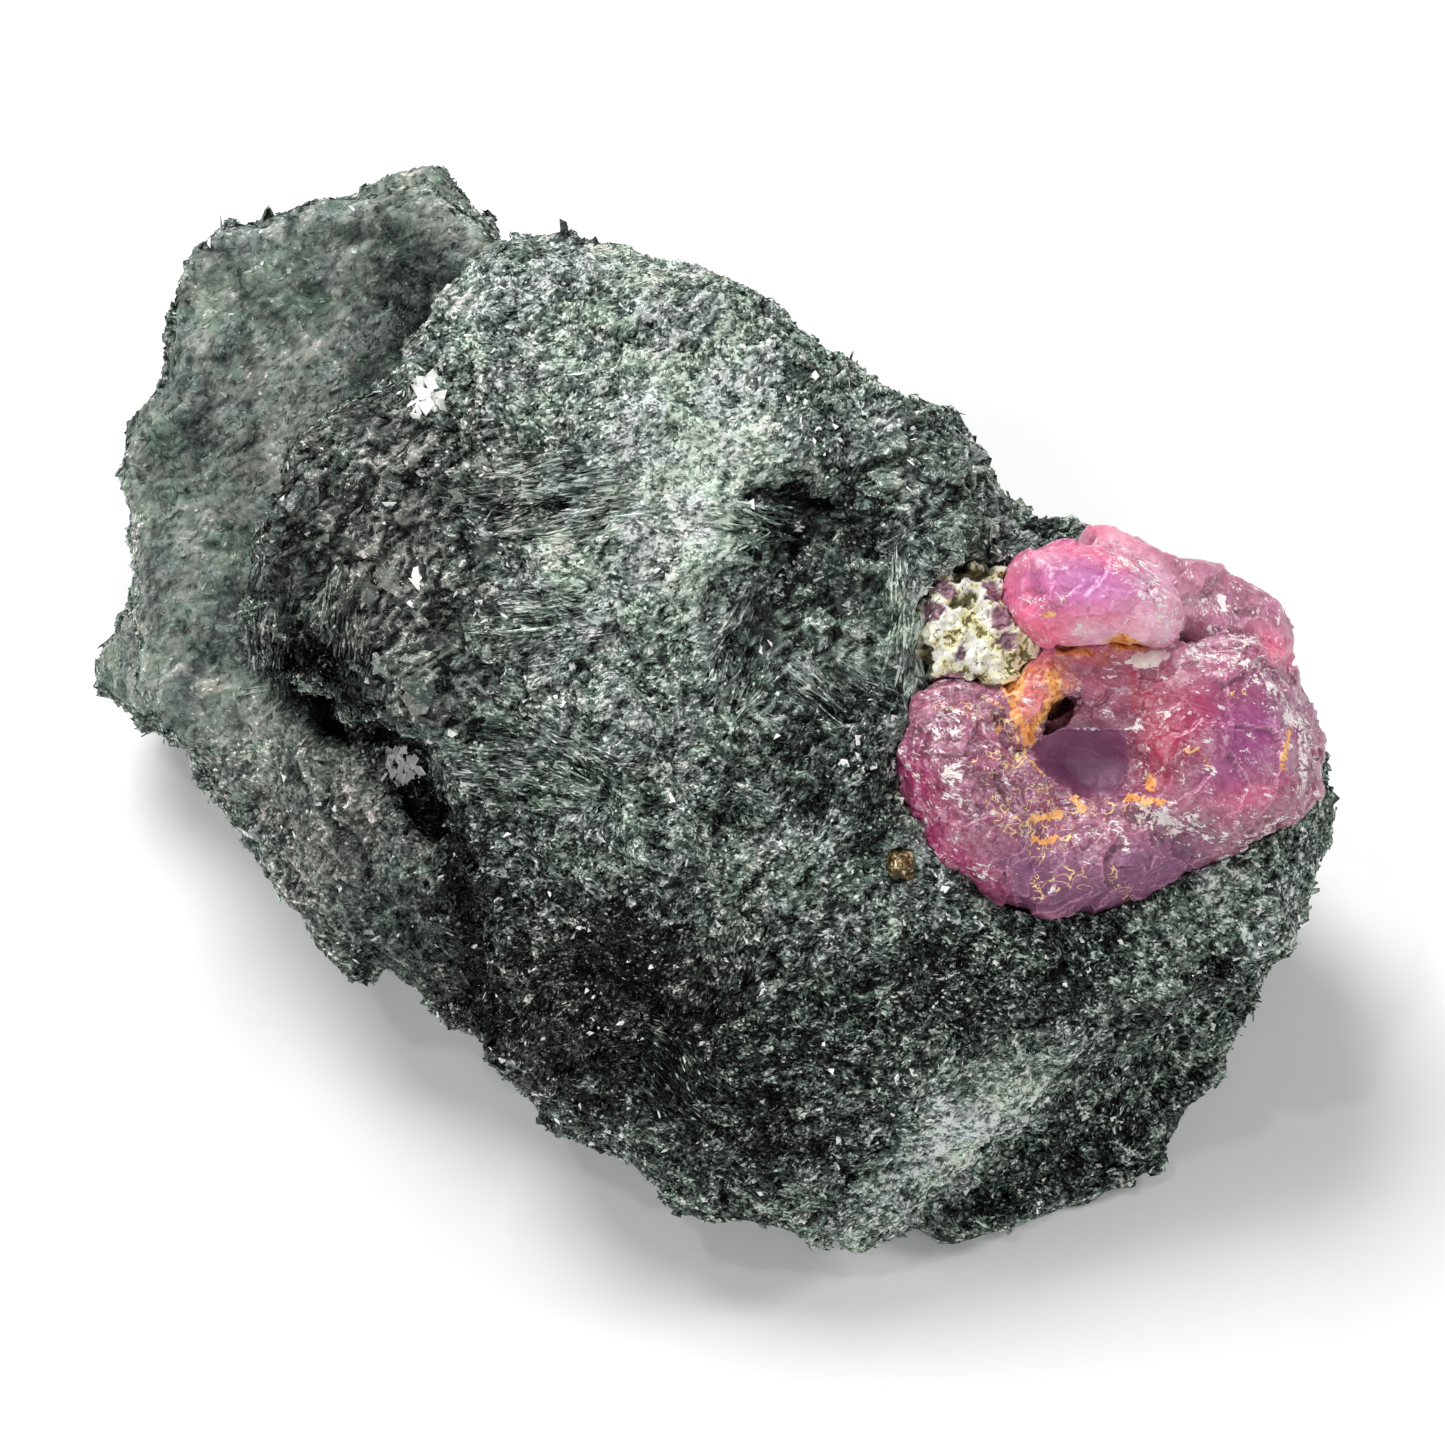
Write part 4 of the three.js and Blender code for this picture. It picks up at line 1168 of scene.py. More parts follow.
class SPECIMEN_OT_rock(bpy.types.Operator):
    """Carve the rock: its form from the solid, with breaks, blades and grains on it."""

    bl_idname = "specimen.rock"
    bl_label = "Rock"

    def execute(self, context):
        settings = settings_of(context)[0]
        rock = gridded("matrix", "rock", settings.grid)
        places = to_face(relaxed(read_points(rock.data), read_edges(rock.data), 9))
        write_points(rock.data, to_row(places))
        normals = read_normals(rock.data)
        zones = rock_zones(places, normals)
        run, bundled = rock_run(places, normals)
        lift = settings.relief * rock_relief(places, normals, zones, run)
        lift *= ramp(read_points(rock.data)[:, 2] / MM, 0.2, 1.5)
        places = places + normals * lift[:, None]
        crystals = [bpy.data.objects[name] for name in CRYSTAL_PIECES]
        places, gap = hug(places, crystals, ROCK_SEAM_REACH, ROCK_SEAM_GAP)
        points = to_row(places)
        points[:, 2] = np.maximum(points[:, 2], 0)
        write_points(rock.data, points)
        crest = crests(places, read_normals(rock.data), read_edges(rock.data), settings.grid / MM)
        # Painted light and shade: ridges are painted lighter and pits darker, more on the plates and less
        # on the calm rock.
        painted_crest_light = (0.2 + 0.2 * zones["plates"]) * (1 - 0.4 * zones["calm"])
        zones["pale"] += 0.75 * zones["bare"] * (0.4 - zones["pale"]) + 0.25 * zones["bright"] + painted_crest_light * crest
        zones["pale"] = np.clip(zones["pale"], -0.35, 1.1)
        clear = ramp(points[:, 2] / MM, 0.5, 1.4) * ramp(gap, 0.15, 0.5)
        self.add_layers(rock.data, zones, run, bundled, clear)
        rock.data.materials.append(amphibole("amphibole_rock", settings, 0, (0.2, 0.5), 0.1))
        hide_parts("matrix")
        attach(rock, "root")
        return {"FINISHED"}

    def add_layers(self, mesh, zones, run, bundled, clear):
        """Numbers on the rock's surface that colour it and place its crystals."""
        pale, shown = zones["pale"], np.maximum(zones["front"], zones["calm"])
        for name in ("pale", "quiet", "plates", "warm"):
            add_numbers(mesh, name, zones[name])
        add_numbers(mesh, "bundled", bundled)
        add_numbers(mesh, "run", run @ AXES)
        open_rock = clear * (1 - 0.95 * zones["bare"])
        single = open_rock * (1 - 0.8 * bundled)
        calmer = 1 - 0.6 * zones["calm"]
        darker = (1 - 0.5 * zones["plates"]) * (1 - 0.9 * zones["behind"])
        growing = {
            "fibres": single * shown * ramp(pale, 0.4, 0.75) * calmer,
            "side_fibres": single * (1 - shown) * ramp(pale, 0.3, 0.7),
            "grains": single * shown * (1 - 0.8 * zones["plates"]) * calmer,
            "side_grains": single * (1 - shown),
            "streaks": open_rock * bundled,
            "blades": single * ramp(1 - pale, 0.4, 0.8) * (0.15 + 0.85 * zones["front"]) * darker,
            "plates_cut": single * zones["plates"] * ramp(1 - pale, 0.3, 0.6),
            "flakes": 0.012 * clear * (1 - zones["calm"]),
            "mirrors": clear * zones["mirrors"],
        }
        for name, values in growing.items():
            add_numbers(mesh, name, values)


class SPECIMEN_OT_crystals(bpy.types.Operator):
    """Grow the rock's small crystals over its surface."""

    bl_idname = "specimen.crystals"
    bl_label = "Rock crystals"

    def execute(self, context):
        settings = settings_of(context)[0]
        finishes = rock_finishes(settings)
        tree = growth_tree()
        shapes = {kind: shape_collection(kind) for kind in SECTIONS}
        for n, (kind, growth) in enumerate(GROWTHS.items()):
            values = {
                "Shapes": shapes[growth["shape"]],
                "Where": growth.get("where", kind),
                "Most": growth["most"] / MM**2 * getattr(settings, growth["finish"]),
                "Sink": growth["sink"] * MM,
                "Seed": settings.seed + 10 * n,
                "Finish": finishes[growth["finish"]],
            }
            for key, (least, most) in SPANS.items():
                values[least], values[most] = (size * MM for size in growth[key])
            for key in ("roll", "tilt", "spread"):
                values[key.title()] = math.radians(growth[key])
            made = grown(growth["piece"], bpy.data.objects["rock"], tree, values)
            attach(made, "root")
        return {"FINISHED"}


# ------------------------------------------------------------------ marks on the crystals, (U, V)


def dab(u, v, half_u, half_v, turn=0, by=1):
    """A soft spot: its middle, half sizes and turn. by is a mark's strength."""
    return {"at": (u, v), "half": (half_u, half_v), "turn": turn, "by": by}


def line(points, width, by=1):
    return {"line": points, "width": width, "by": by}


def area(outline, soft, by=1):
    return {"outline": outline, "soft": soft, "by": by}


HOLLOW = [
    (17.2, -1.7), (18, -0.4), (20.2, -0.05), (22.4, -0.3), (22.5, -2.6), (21.9, -3.8), (20.4, -4.1),
    (19.1, -3.4), (17.8, -3),
]
CRESCENT_LIP = [
    (13.7, 1.6), (15.6, 0.5), (16.3, -1), (16.9, -2.3), (17.8, -3.3), (19.1, -4), (20.6, -4.9),
    (23.6, -4.6), (25.4, -4.9),
]
BULGE = [
    (24.5, 3.3), (23.6, 1.2), (23.2, -0.6), (24.1, -3.6), (25.4, -4.9), (28.5, -5.6), (31.5, -4.9),
    (32.2, -2.8), (32.1, -0.6), (31.2, 1.2), (30, 2.5), (28.4, 3.7), (25.8, 4.1),
]
RIM = [(25.8, 4.1), (28.4, 3.7), (30, 2.5), (31.2, 1.2), (32.1, -0.6), (32.2, -2.8), (31.5, -4.9)]
TERRACE = [(19.7, 3.5), (23.4, 3.6), (23.3, 0.1), (19.6, 0.15)]
WEDGE = [(15.8, 2.9), (18.7, 4), (19.9, 2), (17.6, -0.4), (16.9, -1.2), (16.2, 0.5)]
DARK_HOLE = [(18, -0.2), (18.8, 0.6), (19.6, 1.3)]
CRACKS = [
    [(17.2, -0.35), (19, -0.3), (21, -0.4), (23.4, -0.3)],
    [(25.4, 0.8), (24.7, 0.4), (24.3, -0.2)],
    [(26, 0.6), (25.5, 0.2), (25.4, -0.3)],
    [(25.6, -3.4), (25.5, -2), (25.9, -1.3), (26.6, -1.7), (27.3, -2.5)],
    [(24.8, -1.5), (24.6, -2.4), (24, -2.9)],
]
LOAF = [
    (15.7, 8.8), (16.7, 9.5), (19.1, 9.7), (20.6, 9.6), (22.3, 8.8), (24.1, 7.7), (25.4, 7),
    (25.5, 5.3), (25.2, 4.2), (23.6, 4.2), (20.6, 4), (17.8, 4.2), (16.2, 6), (15.6, 7.4),
]


# Flat faces cut on each crystal: the way a face looks, and how far below the highest point it lies.
RUBY_CUTS = {
    "ruby_upper": [
        ((0.05, 0.12, 1), 0.5), ((-0.05, 0.85, 0.5), 0.4), ((-0.85, 0.15, 0.5), 0.35),
        ((0.5, 0.75, 0.4), 0.5), ((0.85, -0.2, 0.5), 0.35), ((0.05, -0.75, 0.65), 0.3),
    ],
    "ruby_main": [
        ((-0.3, -0.15, 1), 0.25), ((-0.85, -0.3, 0.45), 0.35), ((-0.4, -0.85, 0.4), 0.4),
        ((0.35, -0.85, 0.4), 0.4), ((0.85, -0.4, 0.4), 0.35), ((0.6, 0.6, 0.5), 0.3),
    ],
    "ruby_rear": [
        ((0.1, 0.1, 1), 0.4), ((-0.3, 0.7, 0.6), 0.4), ((0.4, 0.75, 0.5), 0.4),
        ((0.8, 0.3, 0.5), 0.4), ((0.9, -0.3, 0.3), 0.3),
    ],
    "brown_grain": [
        ((0.2, 0.1, 1), 0.25), ((-0.7, 0.4, 0.6), 0.3), ((0.5, 0.6, 0.6), 0.3), ((0.6, -0.6, 0.5), 0.3),
        ((-0.5, -0.7, 0.5), 0.3), ((0.9, 0.1, 0.2), 0.25), ((0, 1, 0.2), 0.25), ((-0.2, -0.9, 0.1), 0.25),
    ],
}


def cut_flat(places, cuts):
    """Trims what stands past flat faces."""
    for way, depth in cuts:
        way = np.array(way) / np.linalg.norm(way)
        height = places @ way
        past = np.maximum(height - height.max() + depth, 0)
        places = places - past[:, None] * way
    return places


def ruby_calm(points):
    """Where the crystals' skin is smooth: the loaf, the bulge, the terrace and the deep hollow."""
    soft = [(BULGE, 1.5, 0.7), (LOAF, 1, 0.55), (TERRACE, 1, 0.6), (HOLLOW, 0.6, 0.97)]
    return np.max([by * patch(points, outline, edge) for outline, edge, by in soft], axis=0)


def ruby_relief(places, normals, calm):
    """Lips, hollows, cracks and fracture faces of the cluster over its smooth form, in mm."""
    points = seen(places)
    shown = ramp(normals[:, 2], -0.1, 0.4) * ramp(places[:, 2], -7, -3)
    form = 0.25 * stroke(points, CRESCENT_LIP, 0.8) - 0.2 * patch(points, HOLLOW, 1)
    form += 0.12 * stroke(points, RIM, 0.6) - 1.2 * stroke(points, DARK_HOLE, 0.5)
    form += 0.06 * np.max([stroke(points, line, 0.22) for line in CRACKS], axis=0)
    broad = 0.6 * (1 - patch(points, HOLLOW, 0.6)) * flat_breaks(places, 2.6, 81, 0.26, 0.02)
    skin = (1 - calm) * 0.5 * flat_breaks(places, 1.2, 83, 0.28, 0.06)
    skin += (1 - 0.85 * calm) * 0.3 * flat_breaks(places, 0.5, 87, 0.3, 0.1)
    return form * shown + broad + skin + 0.015 * rough_noise(places, 0.6, 90)


def crystal_mesh(node, name, cell, rounds, neighbours):
    """A crystal's surface, evened out, and its places and normals."""
    made = gridded(node, name, cell)
    places = to_face(relaxed(read_points(made.data), read_edges(made.data), rounds))
    places = cut_flat(places, RUBY_CUTS.get(node, []))
    if neighbours:
        places, _ = hug(places, neighbours, SEAM_REACH, SEAM_GAP)
    write_points(made.data, to_row(places))
    return made, places, read_normals(made.data)


def veil(points, marks):
    """The strongest of several soft marks: spots with half sizes, lines with a width, and patches."""
    total = np.zeros(len(points))
    for mark in marks:
        if "line" in mark:
            value = stroke(points, mark["line"], mark["width"])
        elif "outline" in mark:
            value = patch(points, mark["outline"], mark["soft"])
        else:
            value = spot(points, mark["at"], mark["half"], mark["turn"])
        total = np.maximum(total, mark["by"] * value)
    return total


RUBY_MARKS = {
    "crimson": [
        line([(23.9, 1.4), (24, 0), (24.3, -2.6)], 2),
        dab(26, -0.2, 2.2, 1.8, by=1.4),
        dab(24.6, -1, 1.4, 1.6, by=1.3),
        line([(22.9, 2.9), (23, 0.8)], 0.9, by=0.9),
        dab(21, 1.6, 1.6, 1.2, by=0.5),
    ],
    "violet": [
        dab(29.2, -0.6, 2.2, 2.2, turn=-20),
        dab(28, -2.8, 1.3, 1.4, by=0.8),
        dab(27, 5.1, 1.8, 0.9, turn=-20, by=0.2),
        line([(17, -5), (17.2, -4)], 0.8, by=0.6),
    ],
    "lilac": [
        dab(20.4, 7.6, 2.2, 1.2, turn=-20),
        dab(22.4, 6.8, 1.8, 1.3, turn=-30, by=0.9),
    ],
    "pink": [
        line([(15.9, 8.2), (15.9, 6.6)], 1.4, by=0.5),
        # The loaf's lower edge: partly its own pink and partly painted glow where light comes through.
        line([(16.6, 5.6), (17.4, 4.8), (18.4, 4.7), (21, 5), (23.6, 5)], 2.2),
        line([(16, 8.8), (17.6, 9.5), (20.4, 9.6), (22.6, 8.8)], 0.8, by=0.7),
        dab(30.8, 4.1, 1, 0.5, turn=-42),
        dab(21.6, 10.6, 2, 0.7, turn=-30, by=0.8),
        dab(29, -4.2, 2.4, 0.8, turn=8, by=0.4),
        dab(17.2, 1.4, 0.9, 0.9, by=0.5),
    ],
    # Painted glow along the loaf's edges and ends, where light comes through.
    "petal": [
        line([(20, 4.9), (23, 4.7), (24.8, 4.9)], 1.5, by=1.1),
        dab(24.4, 5.8, 1.6, 1.2, by=1.15),
        line([(26, 4.9), (28, 4.4)], 0.5, by=0.5),
        line([(21.6, 10.4), (23.4, 9.2), (24.6, 8)], 1, by=0.6),
        dab(17.6, 9, 1.4, 0.4, turn=8, by=0.5),
    ],
    "salmon": [area(WEDGE, 0.8), line([(18.6, 3.9), (21, 3.8)], 0.8)],
    "magenta": [
        line([(10.6, -2.8), (11, -4.6), (12, -6.8), (13.8, -8.2), (15.8, -9.3)], 2.2),
        line([(17, -8), (19, -9.6)], 2, by=0.6),
        line([(22, -9.2), (25, -8.2)], 1.4, by=0.6),
    ],
    "plum": [
        area(HOLLOW, 0.9),
        # Painted shade: the dark pit is painted plum.
        line(DARK_HOLE, 1),
        dab(17.4, -7.9, 1.8, 1, by=1.3),
        line([(17.2, -9.2), (20, -9.8), (23, -9.2), (25.4, -7.9)], 2.4, by=1.4),
        dab(23.4, -7.9, 2.6, 1.2, turn=18, by=1.3),
        dab(20, -8, 2, 1, by=0.7),
        dab(19, -6, 0.8, 0.5, by=0.6),
    ],
    "stain": [
        dab(16.1, 2.2, 0.7, 0.9, by=1.3),
        line([(18.3, 2.6), (18.6, 1.5), (18, 0.6), (17.1, -0.3), (17, -1)], 1),
        line([(16, 3.2), (16.2, 0.8), (16.9, -0.8)], 0.7),
        line([(14.4, 1.5), (15.9, 0.6), (16.4, -0.8), (17, -2), (18.1, -3.2)], 0.2, by=0.95),
        line([(18.8, 4), (20.3, 3.9)], 0.7),
        area([(21, 4.5), (22.3, 5), (23.8, 4.1), (22.2, 4)], 0.25, by=1.2),
        area([(15.8, 3), (16.7, 3.2), (16.8, 1.9), (16.3, 1.3), (15.8, 1.8)], 0.25, by=1.1),
        dab(18, 6, 0.6, 0.25, by=0.8),
        dab(15.3, -0.3, 0.35, 0.45, by=0.85),
        line([(17.3, -5.4), (18.2, -5.2), (18.8, -5.1)], 0.7, by=0.95),
        line([(17.2, -6.4), (18, -6.7), (18.5, -6.4)], 0.5, by=0.95),
        line([(19.5, -4.2), (20, -4.8)], 0.6, by=0.95),
        dab(23.8, -3.4, 0.35, 0.6, by=1.1),
        line([(22.6, -4.2), (24.4, -4.4)], 0.7, by=0.95),
        line([(25.6, -1.6), (26.4, -1.5), (27.2, -2.5)], 0.4, by=0.75),
        dab(28.6, 1.6, 0.6, 0.4, by=0.75),
        line([(31.5, -0.4), (31.1, -2.6)], 0.5, by=0.85),
    ],
    "gold": [
        dab(15, -2.4, 1.2, 1),
        dab(16.6, -4.6, 2, 1.6, by=0.9),
        dab(18, -6.2, 1.6, 1.2),
        line([(17.8, -9.2), (19, -8.5), (19.8, -8.7)], 1.2),
        line([(21.8, -8.4), (22.4, -9.4)], 1),
        line([(12.4, 0.8), (14.4, 0.6), (16, -0.4), (16.6, -2)], 1, by=0.9),
        line([(18.6, -5), (21, -4.8), (23, -4.6)], 1, by=0.8),
    ],
    "frost": [
        dab(24.3, -5.3, 1.3, 0.7, turn=-8, by=1.15),
        dab(26.2, -5.9, 2.4, 0.9, turn=10, by=0.8),
        line(
            [(26, 4), (27.6, 3.5), (28.9, 3.4), (30, 2.3), (31.2, 1), (32.2, -0.6), (32.2, -3.2)],
            1.2,
            by=0.85,
        ),
        # Painted highlight: thin white lines along the cracks, where their broken edges catch the light.
        *(line(crack, 0.2, by=0.95) for crack in CRACKS),
        dab(24.6, 5.6, 1, 1.3, by=0.8),
        dab(24, 7.2, 0.9, 0.6, turn=-40, by=0.8),
        area([(22.2, 3.3), (22.9, 3.9), (24.6, 4.1), (25, 3.7), (24.2, 3.1), (23, 3)], 0.25, by=1.4),
        dab(12.7, -2.8, 0.7, 0.5, by=1.1),
        dab(13.1, -4.2, 0.6, 0.4, by=0.9),
        dab(11.3, -1.5, 0.7, 0.5, by=0.75),
        dab(13, 0.5, 0.9, 0.35, turn=-10, by=0.9),
        dab(14.3, -8.3, 0.6, 0.4, by=0.9),
        dab(18.3, -9.3, 0.8, 0.4, turn=40, by=0.9),
        line([(21.8, -5.7), (22.2, -6.4), (22.4, -7.2)], 0.5, by=0.9),
        dab(21, -6.6, 1.4, 0.8, by=0.6),
        line([(26.6, -8.4), (29, -7), (31, -5.6)], 0.9, by=0.7),
        line([(21.8, 9.2), (23.8, 7.9)], 0.9, by=0.75),
        dab(27.4, 6.4, 1.6, 1.2, by=0.65),
        line([(25.8, 5.6), (27.6, 5.4), (29.4, 4.4)], 1, by=0.75),
    ],
}


def ruby_body(made, settings, body, cloud, fine, broken):
    """The stone's own colours: clouds, coloured cores and darker depths."""
    dark, light = tuple(0.7 * c for c in body), tuple(1.1 * c for c in body)
    shade = made.mix(made.stretch(cloud, 0.34, 0.64), dark, light)
    cloudy = made.stretch(cloud, 0.25, 0.55, 0.75, 1)
    for layer in ("salmon", "crimson", "violet", "lilac", "pink", "petal", "magenta", "plum"):
        shade = made.mix(made.times(made.attribute(layer), cloudy), shade, getattr(settings, layer))
    depth = made.times(made.stretch(fine, 0.58, 0.36), made.times_plus(broken, 0.55, 0.15))
    return made.mix(depth, shade, (0.55, 0.26, 0.42), "MULTIPLY")


def paler_skin(made, facet, flint, broken, runs):
    """How much paler the skin is on broken faces, on crests and along its brushing."""
    face = made.plus(made.dot(facet, (0.6, 0, 0)), made.dot(flint, (0.6, 0, 0)))
    plain = made.times_plus(made.attribute("plum"), -0.7, 1)
    face = made.times(made.stretch(face, 0.05, 0.5), made.times(broken, 0.5))
    face = made.times(face, plain)
    scratch = made.wave(0.16, 2, 0.6, place=made.drawn_out(made.place, runs, 9))
    brushing = made.times(made.stretch(scratch, 0.52, 0.7), made.times_plus(plain, 0.14, 0.08))
    crest = made.times(made.stretch(made.attribute("crest"), 0.25, 0.9), 0.35)
    return made.most(face, crest, brushing)


def dashes(made, place, size, thick):
    """Short ragged strokes; thick, about -0.2 to 0.3, is how many there are."""
    return made.stretch(made.plus(made.wave(size, 2, 0.7, place=place), thick), 0.66, 0.685)


def white_marks(made, place, fine, broken):
    """Bruises, dashes and threads of white."""
    frost = made.attribute("frost")
    here = made.less(made.wave(0.9, 2, 0.6), 0.56)
    here = made.times_plus(broken, 0.05, made.times(here, 0.75))
    here = made.times_plus(made.attribute("plum"), -0.12, made.times_plus(frost, 0.15, here))
    threads = made.times(vein(made, 1.2, 0.022, 2.2), made.stretch(here, 0.05, 0.12))
    # The blots follow the frost layer, which also holds the painted highlight along the cracks.
    blots = made.stretch(made.times_plus(made.less(fine, 0.5), 2.6, frost), 0.94, 0.98)
    return made.times(made.most(threads, dashes(made, place, 0.2, here), blots), 0.95)


def golden_marks(made, place, cloud, fine):
    """Threads and dashes of iron stain where "gold" is, and solid stain where "stain" is."""
    gold = made.attribute("gold")
    clouded = made.times_plus(made.less(cloud, 0.5), 1.5, gold)
    threads = made.times(vein(made, 1.3, 0.03, 1.6, 1), made.stretch(clouded, 0.5, 0.56))
    strokes = dashes(made, place, 0.25, made.times_plus(gold, 0.16, -0.12))
    solid = made.times_plus(made.less(fine, 0.5), 2.1, made.attribute("stain"))
    return made.most(threads, strokes), made.stretch(solid, 0.68, 0.74)


def ruby_finish(name, settings, body, look):
    """Clouded ruby: broken faces, coloured cores, and white and golden veins, under a glassy gloss."""
    made = Shading(name)
    broken = made.less(1, made.attribute("smooth"))
    facet = made.draws(made.cells(0.75, place=made.warped(1.1, 0.25)))
    brushed = made.drawn_out(made.warped(2.2, 0.5), look["runs"], 3)
    flint = made.draws(made.cells(0.16, place=brushed))
    cloud = made.wave(1.5, 2, 0.6, 0.8)
    fine = made.wave(0.45, 3, 0.62, 1.0)
    shade = ruby_body(made, settings, body, cloud, fine, broken)
    shade = made.mix(paler_skin(made, facet, flint, broken, look["runs"]), shade, settings.blush)
    white = white_marks(made, brushed, fine, broken)
    shade = made.mix(white, shade, settings.frost)
    gold, solid = golden_marks(made, brushed, cloud, fine)
    shade = made.mix(gold, shade, settings.amber)
    dark = tuple(0.35 * c for c in settings.stain)
    stain = made.ramp(fine, [(0.36, dark), (0.45, settings.stain), (0.7, settings.amber)])
    flat = made.most(gold, solid, white)
    rough = made.stretch(cloud, 0.35, 0.65, look["satin"], look["satin"] + 0.14)
    rough = made.times_plus(made.attribute("plum"), 0.3, made.times_plus(flat, 0.3, rough))
    lean = made.leaning(
        made.scaled(facet, made.times_plus(broken, 0.36, 0.06)),
        made.scaled(flint, made.times_plus(broken, 0.3, 0.06)),
    )
    height = made.times_plus(flat, 0.05, made.times(fine, 0.06))
    return made.finish(
        {
            "Base Color": made.mix(solid, shade, stain),
            "Roughness": rough,
            "Normal": made.bump(height, 1, 0.9, lean),
            "IOR": RUBY_IOR,
            "Specular IOR Level": 0.5,
            "Subsurface Weight": 0.5,
            "Subsurface Radius": (1.0, 0.25, 0.45),
            "Subsurface Scale": look["reach"] * MM,
        }
    )


# How each crystal's skin is brushed, in degrees, how satin it is, and how far light runs in it.
RUBY_LOOKS = {
    "ruby_upper": {"runs": -25, "satin": 0.24, "reach": 2.4},
    "ruby_main": {"runs": -22, "satin": 0.2, "reach": 1.0},
    "ruby_rear": {"runs": 105, "satin": 0.28, "reach": 1.0},
}


class SPECIMEN_OT_ruby(bpy.types.Operator):
    """Shape and finish the ruby cluster: the loaf, the large crystal and the lumps behind."""

    bl_idname = "specimen.ruby"
    bl_label = "Ruby"

    def execute(self, context):
        settings = settings_of(context)[1]
        loaf = self.crystal("ruby_upper", "ruby_loaf", settings, settings.loaf, "ruby_pink", [])
        large = self.crystal("ruby_main", "ruby_large", settings, settings.rose, "ruby_violet", [loaf])
        self.crystal("ruby_rear", "ruby_lumps", settings, settings.lump, "ruby_violet", [loaf, large])
        return {"FINISHED"}

    def crystal(self, node, name, settings, body, slot, neighbours):
        made, places, normals = crystal_mesh(node, name, settings.grid, 10, neighbours)
        calm = ruby_calm(seen(places)) * ramp(normals[:, 2], -0.2, 0.3)
        calm = np.maximum(calm, 0.65 * (node == "ruby_rear"))
        places = places + normals * (ruby_relief(places, normals, calm) + 0.08)[:, None]
        write_points(made.data, to_row(places))
        edges = read_edges(made.data)
        add_numbers(made.data, "crest", crests(places, read_normals(made.data), edges, settings.grid / MM))
        add_numbers(made.data, "smooth", calm)
        points = seen(places)
        shown = ramp(normals[:, 2], -0.3, 0.2)
        for layer, marks in RUBY_MARKS.items():
            add_numbers(made.data, layer, veil(points, marks) * shown)
        made.data.materials.append(ruby_finish(name + "_finish", settings, body, RUBY_LOOKS[node]))
        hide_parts(node)
        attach(made, "root")
        return made


# ------------------------------------------------------------------ mica and the brown grain

MICA_MARKS = {
    "purple": [
        dab(12.5, 7.5, 0.6, 0.4),
        dab(11.7, 6.2, 0.7, 0.7),
        dab(15, 7.4, 0.6, 0.4),
        dab(15.5, 5.9, 0.7, 0.8),
        dab(13.2, 3.7, 0.3, 0.35),
        dab(12.4, 1.9, 0.8, 0.6),
        dab(15.8, 4.4, 0.6, 0.5),
    ],
    "olive": [
        dab(13.5, 6.7, 0.6, 0.6),
        line([(11.2, 4.1), (11.1, 2.6)], 0.9),
        line([(12.6, 8.4), (14.6, 8.4)], 0.7, by=0.8),
        dab(13.9, 1.9, 0.3, 0.5),
    ],
    "snow": [
        dab(14.4, 3.7, 1, 1.2),
        dab(12.3, 3.5, 0.7, 0.7),
        dab(12.3, 4.9, 1, 0.5, by=0.9),
        line([(13.6, 8), (14.4, 6.8), (14.9, 5.4)], 0.9, by=0.9),
        line([(11.8, 7.2), (12.7, 6.2), (12.6, 5.6)], 0.6),
        dab(14, 1.9, 0.8, 0.5, by=0.8),
    ],
}


def mica_crust_shade(made, settings, grain, draw):
    """Straw to white flakes with dark cracks between them."""
    wide = made.times_plus(made.less(made.wave(1.1, 2, 0.6), 0.5), 1.7, 0.27)
    tone = made.times_plus(grain, 0.4, wide)
    tone = made.times_plus(made.dot(draw, (1, 0, 0)), 0.4, tone)
    tone = made.times_plus(made.attribute("snow"), 0.2, tone)
    tone = made.times_plus(made.attribute("crest"), 0.12, tone)
    dark = tuple(0.25 * c for c in settings.straw)
    stops = [(0.22, dark), (0.31, settings.straw), (0.41, settings.pearl), (0.72, settings.snow)]
    crack = made.cells(0.42, "DISTANCE_TO_EDGE", made.warped(0.4, 0.16)).outputs["Distance"]
    crack = made.times(made.stretch(crack, 0.07, 0.02), made.stretch(grain, 0.52, 0.4))
    return made.mix(crack, made.ramp(tone, stops), dark)


def mica_finish(settings):
    """Flaky crust from white to straw, with dark olive pits and mauve grains."""
    made = Shading("pale_mica")
    grain = made.wave(0.4, 3, 0.65, 0.8)
    draw = made.draws(made.cells(0.34, place=made.warped(0.5, 0.1)))
    shade = mica_crust_shade(made, settings, grain, draw)
    olive = made.ramp(grain, [(0.4, (0.03, 0.028, 0.012)), (0.62, (0.25, 0.22, 0.09))])
    shade = made.mix(made.attribute("olive"), shade, olive)
    purple = made.ramp(grain, [(0.42, (0.13, 0.055, 0.08)), (0.6, (0.48, 0.28, 0.35))])
    shade = made.mix(made.attribute("purple"), shade, purple)
    return made.finish(
        {
            "Base Color": shade,
            "Roughness": made.stretch(grain, 0.3, 0.7, 0.4, 0.2),
            "Normal": made.bump(grain, 0.07, 1.0, made.leaning(made.scaled(draw, 0.6))),
            "Subsurface Weight": 0.15,
            "Subsurface Radius": (1, 0.8, 0.5),
            "Subsurface Scale": 0.4 * MM,
        }
    )


